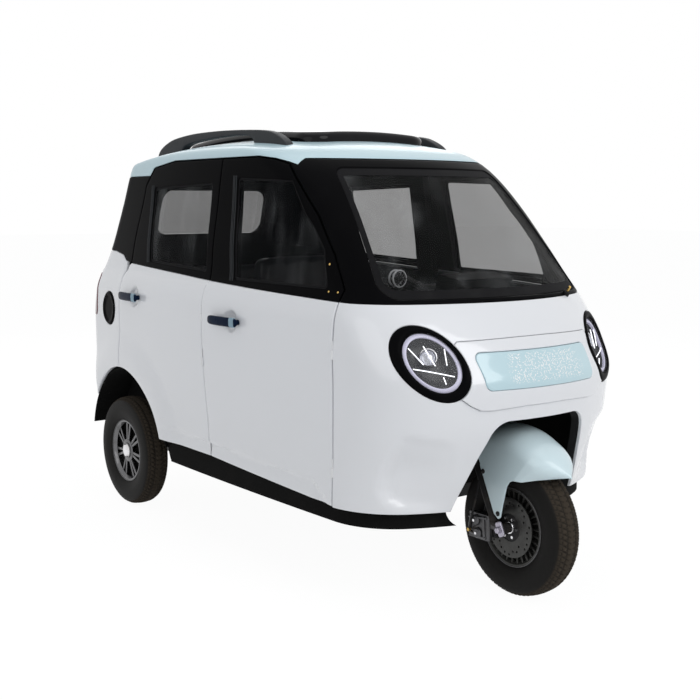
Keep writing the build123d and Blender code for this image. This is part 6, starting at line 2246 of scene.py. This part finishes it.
@dataclass
class Fan:
    """Small demister fan on a stalk: guard rings and spokes on two sides, and blades."""

    at: tuple[float, float, float] = (-318.0, -752.0, 1040.0)
    radius: float = 29.5
    half: float = 12.0
    rings: tuple[float, ...] = (0.8, 0.62, 0.3)
    spokes: int = 12
    hub: float = 6.0
    stalk: float = 68.0

    def build(self, f: Finishes) -> None:
        """Makes the fan."""
        x, y, z = self.at
        guard = []
        for dy in (-self.half, self.half):
            for share in self.rings:
                guard.append(tube(self.ring(self.radius * share, y + dy), 1.3, 8))
            for k in range(self.spokes):
                a = tau * k / self.spokes
                ends = [(x + r * cos(a), y + dy, z + r * sin(a))
                        for r in (self.hub, self.radius - 1.5)]
                guard.append(tube(ends, 0.9, 6))
        guard.append(tube([(x, y, z - self.stalk), (x, y, z - self.radius)], 5.0))
        guard.append(tube([(x, y - self.half, z), (x, y + self.half + 8, z)], 8.0))
        make_object("fan_guard", joined(guard), f.matte, Slot.PLASTIC, "body", ("demister_fan",))
        hoops = joined(tube(self.ring(self.radius - 3.2, y + dy), 3.2, 10)
                       for dy in (-self.half + 2, self.half - 2))
        make_object("fan_hoops", hoops, f.scoop, Slot.WHITE, "body")
        blades = []
        for k in range(3):
            t = np.linspace(0, 1, 10)
            a = tau * k / 3 + t[:, None] * 0.2
            r = 8 + (self.radius - 12) * t[:, None]
            s = np.linspace(-0.45, 0.45, 6)[None, :]
            px = x + r * np.cos(a + s)
            pz = z + r * np.sin(a + s)
            py = y + 6.0 * s + 0 * px
            grid = np.stack([px, py, pz], -1)
            thick = np.stack([grid, grid + (0, 1.2, 0)])
            blades.append(slab_between(thick))
        make_object("fan_blades", joined(blades), f.fan_blade, Slot.PLASTIC, "body")

    def ring(self, radius: float, y: float) -> list[tuple[float, float, float]]:
        """Points of a guard ring, its last one just short of the first."""
        angle = np.linspace(0, tau * 0.999, 40)
        return [(self.at[0] + radius * cos(a), y, self.at[2] + radius * sin(a)) for a in angle]


@dataclass
class SmallParts:
    """Bare wiper spindle and the black flaps behind the skirts."""

    foot: tuple[float, float, float] = (292.0, -905.0, 960.0)
    shoulder: tuple[float, float, float] = (292.0, -921.0, 982.0)
    tip: tuple[float, float, float] = (292.0, -933.0, 998.5)
    flap: Outline = ((392, 258), (392, 330), (437, 340), (431, 300), (412, 262))

    def build(self, f: Finishes) -> None:
        """Makes them."""
        boss = tube([self.foot, self.shoulder], 12.0, 24)
        make_object("wiper_boss", boss, f.matte, Slot.PLASTIC, "body", ("wiper_spindle",))
        pin = tube([self.shoulder, self.tip], 4.3, 16)
        make_object("wiper_pin", pin, f.gold, Slot.BRIGHT, "body")
        y, z = np.array(self.flap, float).T
        x = float(SKIN.place(SKIN.share_of_y(y, z), z)[0][:, 0].min()) - 27.0
        flap = plate([np.stack([y, z], 1)], x - 7.0, x, "yzx", 1.5, 10.0)
        make_object("skirt_flaps", joined([flap, flap.mirrored()]), f.liner, Slot.PLASTIC, "body")


@dataclass
class Pad:
    """One cushion: a box whose faces are crowned and whose sides pull in.

    A point starts on a superellipsoid |x|^e + |y|^e + |z|^e = 1. The crown lifts its
    broad face, channels press lines into it and a seam groove runs round its side.
    """

    name: str
    node: str
    low: tuple[float, float, float]
    high: tuple[float, float, float]
    lean: float = 0.0
    upright: bool = False
    power: float = 7.0
    channels: tuple[float, ...] = ()
    crown: float = 10.0
    pull: float = 7.0

    def mesh(self, rows: int = 72, columns: int = 120) -> Mesh:
        """The closed cushion."""
        v = np.linspace(-pi / 2, pi / 2, rows)[1:-1, None]
        u = np.linspace(-pi, pi, columns, endpoint=False)[None, :]
        ball = np.stack([np.cos(v) * np.cos(u), np.cos(v) * np.sin(u), np.sin(v) + 0 * u], -1)
        size = (np.abs(ball) ** self.power).sum(-1) ** (-1 / self.power)
        box = ball * size[..., None]
        half = (np.array(self.high) - self.low) / 2
        middle = (np.array(self.high) + self.low) / 2
        across = 1 if self.upright else 2
        flat = [k for k in (0, 1, 2) if k != across]
        face = np.maximum(np.abs(box[..., flat[0]]), np.abs(box[..., flat[1]]))
        side = box[..., across]
        dome = (1 - face ** 2) * self.crown
        seam = -3.0 * np.exp(-((np.abs(side) - 0.72) / 0.05) ** 2) * smooth_step(face, 0.9, 1.0)
        waist = -self.pull * (1 - side ** 2) * smooth_step(face, 0.9, 1.0)
        press = sum((-6.0 * np.exp(-((box[..., flat[0]] - c) / 0.03) ** 2) for c in self.channels),
                    0 * side) * (1 - smooth_step(face, 0.86, 0.95))
        shape = box * (half - [self.crown * 0.7 if k == across else self.pull * 0.3
                               for k in range(3)])
        front = side if not self.upright else -side
        lift = (dome * (0.3 + 0.7 * (front > 0)) + press * (front > 0)) * smooth_step(
            np.abs(side), 0.6, 0.95)
        shape[..., across] += np.sign(side) * lift
        for k in flat:
            shape[..., k] *= 1 + (seam + waist) / half[k]
        points = shape + middle
        points[..., 1] += self.lean * (points[..., 2] - self.low[2])
        low_pole, high_pole = points[0].mean(0), points[-1].mean(0)
        every = np.vstack([points.reshape(-1, 3), low_pole, high_pole])
        faces = grid_faces(rows - 2, columns, close_columns=True)
        last = (rows - 3) * columns
        bottom, top = len(every) - 2, len(every) - 1
        faces += [(bottom, (i + 1) % columns, i) for i in range(columns)]
        faces += [(top, last + i, last + (i + 1) % columns) for i in range(columns)]
        return outward(Mesh(every, faces))

    def build(self, f: Finishes) -> None:
        obj = make_object(self.name, self.mesh(), f.seat, Slot.SEAT, "body", (self.node,), 60.0)
        puff(obj, self.low, self.high, self.lean)


PUFF_FRAMES = 14
VOXEL = 0.009


def puff(obj: bpy.types.Object, low: Sequence[float], high: Sequence[float], lean: float,
         cap: float = 9.0) -> None:
    """Blows a cushion up a little as cloth and keeps the result.

    Args:
        obj: The cushion.
        low: Lowest corner of its room.
        high: Highest corner of its room.
        lean: How much the room leans back for each unit of height.
        cap: How far a point may move.
    """
    scene = bpy.context.scene
    remesh = obj.modifiers.new("remesh", "REMESH")
    remesh.mode, remesh.voxel_size, remesh.use_smooth_shade = "VOXEL", VOXEL, True
    graph = bpy.context.evaluated_depsgraph_get()
    start = bpy.data.meshes.new_from_object(obj.evaluated_get(graph))
    obj.modifiers.clear()
    old, obj.data = obj.data, start
    bpy.data.meshes.remove(old)
    cloth = obj.modifiers.new("cloth", "CLOTH")
    cloth.settings.quality = 4
    cloth.settings.use_pressure = True
    cloth.settings.uniform_pressure_force = 4.0
    cloth.settings.tension_stiffness = 20.0
    cloth.settings.bending_stiffness = 1.2
    cloth.settings.effector_weights.gravity = 0.0
    cloth.point_cache.frame_start, cloth.point_cache.frame_end = 1, PUFF_FRAMES
    before = coordinates(obj.data)
    for number in range(1, PUFF_FRAMES + 1):
        scene.frame_set(number)
    graph = bpy.context.evaluated_depsgraph_get()
    result = bpy.data.meshes.new_from_object(obj.evaluated_get(graph))
    after = coordinates(result)
    obj.modifiers.clear()
    bpy.data.meshes.remove(result)
    scene.frame_set(1)
    move = after - before if len(after) == len(before) else before * 0
    length = np.linalg.norm(move, axis=1)
    move *= np.minimum(1, cap * MM / np.maximum(length, 1e-9))[:, None]
    points = (before + move) / MM
    slide = lean * (points[:, 2] - low[2])
    points[:, 1] -= slide
    points = np.clip(points, np.array(low) + 1.0, np.array(high) - 1.0)
    points[:, 1] += slide
    obj.data.vertices.foreach_set("co", (points * MM).ravel().astype(np.float32))
    obj.data.update()
    obj.data.shade_smooth()


def coordinates(mesh: bpy.types.Mesh) -> Array:
    """All points of a mesh, (n, 3)."""
    out = np.empty(len(mesh.vertices) * 3, np.float32)
    mesh.vertices.foreach_get("co", out)
    return out.reshape(-1, 3).astype(float)


PADS = (
    Pad("driver_cushion", "driver_seat_cushion", (-240, -290, 522), (240, 180, 640),
        channels=(-0.42, 0.42)),
    Pad("driver_backrest", "driver_seat_back", (-230, 165, 580), (230, 255, 1080), lean=0.12,
        upright=True, channels=(-0.42, 0.42)),
    Pad("bench_cushion", "rear_bench_cushion", (-395, 530, 440), (395, 880, 690),
        channels=(-0.33, 0.33), power=9.0),
    Pad("bench_backrest", "rear_bench_back", (-395, 865, 570), (395, 945, 1010), lean=0.12,
        upright=True, channels=(-0.33, 0.33)),
)


# ----------------------------------------------------------------- the studio
@dataclass
class Studio:
    """Floor, lamps, sky and camera, in metres. A lamp has a name, place, size and power."""

    eye: tuple[float, float, float] = (-2.6117, -3.5658, 1.2831)
    yaw: float = 0.642
    pitch: float = -0.13
    sensor: float = 36.0
    focal: float = 1132.24 / 700 * 36.0
    sky: float = 0.42
    sky_colour: tuple[float, ...] = (0.96, 0.98, 1.0, 1.0)
    aim: tuple[float, float, float] = (0.0, 0.0, 0.7)
    floor_half: float = 40.0
    floor_white: float = 0.92
    floor_glow: float = 1.04
    lamps: tuple[tuple[str, tuple[float, float, float], float, float], ...] = (
        ("key_lamp", (0.2, -5.6, 4.4), 4.0, 130.0), ("fill_lamp", (-5.2, -1.6, 2.6), 4.0, 32.0),
        ("top_lamp", (0.0, 0.0, 6.0), 5.0, 48.0), ("back_lamp", (3.2, 5.0, 3.6), 4.0, 60.0))

    def build(self) -> None:
        """Makes everything round the car."""
        bpy.context.scene.view_settings.view_transform = "Standard"
        self.camera()
        self.floor()
        self.world()
        for lamp in self.lamps:
            self.lamp(*lamp)

    def camera(self) -> None:
        """Camera at the usual three-quarter view."""
        data = bpy.data.cameras.new("camera")
        data.lens, data.sensor_width = self.focal, self.sensor
        data.clip_end = 100.0
        obj = linked("camera", data)
        obj.location = self.eye
        obj.rotation_euler = (pi / 2 + self.pitch, 0.0, -self.yaw)
        bpy.context.scene.camera = obj

    def lamp(self, name: str, at: Sequence[float], size: float, power: float) -> None:
        """A broad soft lamp that looks at the car."""
        data = bpy.data.lights.new(name, "AREA")
        data.shape, data.size, data.energy = "DISK", size, power
        obj = linked(name, data)
        obj.location = at
        aim = Vector(self.aim) - Vector(at)
        obj.rotation_euler = aim.to_track_quat("-Z", "Y").to_euler()

    def floor(self) -> None:
        """Wide plain floor that looks white and keeps the shadow."""
        data = bpy.data.meshes.new("floor")
        far = self.floor_half
        data.from_pydata([(-far, -far, 0), (far, -far, 0), (far, far, 0), (-far, far, 0)], [],
                         [(0, 1, 2, 3)])
        s = Shader("pale floor", (0.93, 0.93, 0.93), 0.9, specular_ior_level=0.0)
        data.materials.append(s.material)
        linked("floor", data)
        output = next(n for n in s.nodes if n.type == "OUTPUT_MATERIAL")
        glow = s.node("ShaderNodeEmission", {}, WHITE, self.floor_glow)
        seen = s.rays("Camera", "Glossy") * self.floor_white
        s.feed(output.inputs[0], s.node("ShaderNodeMixShader", {}, seen,
                                        Val(s, s.principled.outputs[0]), glow))

    def world(self) -> None:
        """Soft grey light from all round, seen as white."""
        world = bpy.data.worlds.new("studio")
        world.use_nodes = True
        bpy.context.scene.world = world
        s = Tree(world.node_tree)
        soft = s.nodes["Background"]
        s.feed(soft.inputs["Color"], self.sky_colour)
        s.feed(soft.inputs["Strength"], self.sky)
        white = s.node("ShaderNodeBackground", {}, WHITE, 1.0)
        seen = s.rays("Camera", "Glossy", "Transmission")
        s.feed(s.nodes["World Output"].inputs["Surface"],
               s.node("ShaderNodeMixShader", {}, seen, Val(s, soft.outputs[0]), white))


# ------------------------------------------------------------ carried-over CAD
def dress(f: Finishes) -> None:
    """Finishes for the CAD nodes that stay."""
    finish = {
        "front_fork": f.steel, "brake_caliper": f.castings,
        "front_wheel_liner": f.liner, "rear_wheel_liners": f.liner, "sill_skirts": f.liner,
        "chassis_frame": f.steel, "rear_axle": f.castings, "rear_suspension": f.steel,
        "floor_pan": f.carpet, "cabin_frame": f.inner, "door_hinges": f.scoop,
        "dashboard": f.matte, "handlebar": f.steel, "battery_block": f.battery,
        "number_plate_holder": f.matte,
    }
    for name, material in finish.items():
        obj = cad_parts[name]
        for slot in obj.material_slots:
            slot.material = material
        if not obj.material_slots:
            obj.data.materials.append(material)


def main() -> None:
    """Builds the car's looks in order and reports each piece."""
    logging.basicConfig(level=logging.INFO, format="%(name)s %(message)s")
    Studio().build()
    f = Finishes()
    for part in (Nose(), Fixed()):
        part.build(f)
    doors = (Door("front", FRONT_DOOR, FRONT_GLASS), Door("rear", REAR_DOOR, REAR_GLASS))
    handles = (DoorHandle("front", -126.0, 868.0), DoorHandle("rear", 640.0, 903.0))
    for side in Side:
        for part in (*doors, *handles):
            part.build(f, side)
    wheels = (FrontWheel(0.0, FRONT_AXLE_Y), RearWheel(TRACK_HALF, REAR_AXLE_Y),
              RearWheel(-TRACK_HALF, REAR_AXLE_Y))
    for part in (Headlamp(), RoofFittings(), *wheels, SmallParts(), Fender(), SteeringTrim(),
                 Fan(), *PADS):
        part.build(f)
    dress(f)


if __name__ == "__main__":
    main()
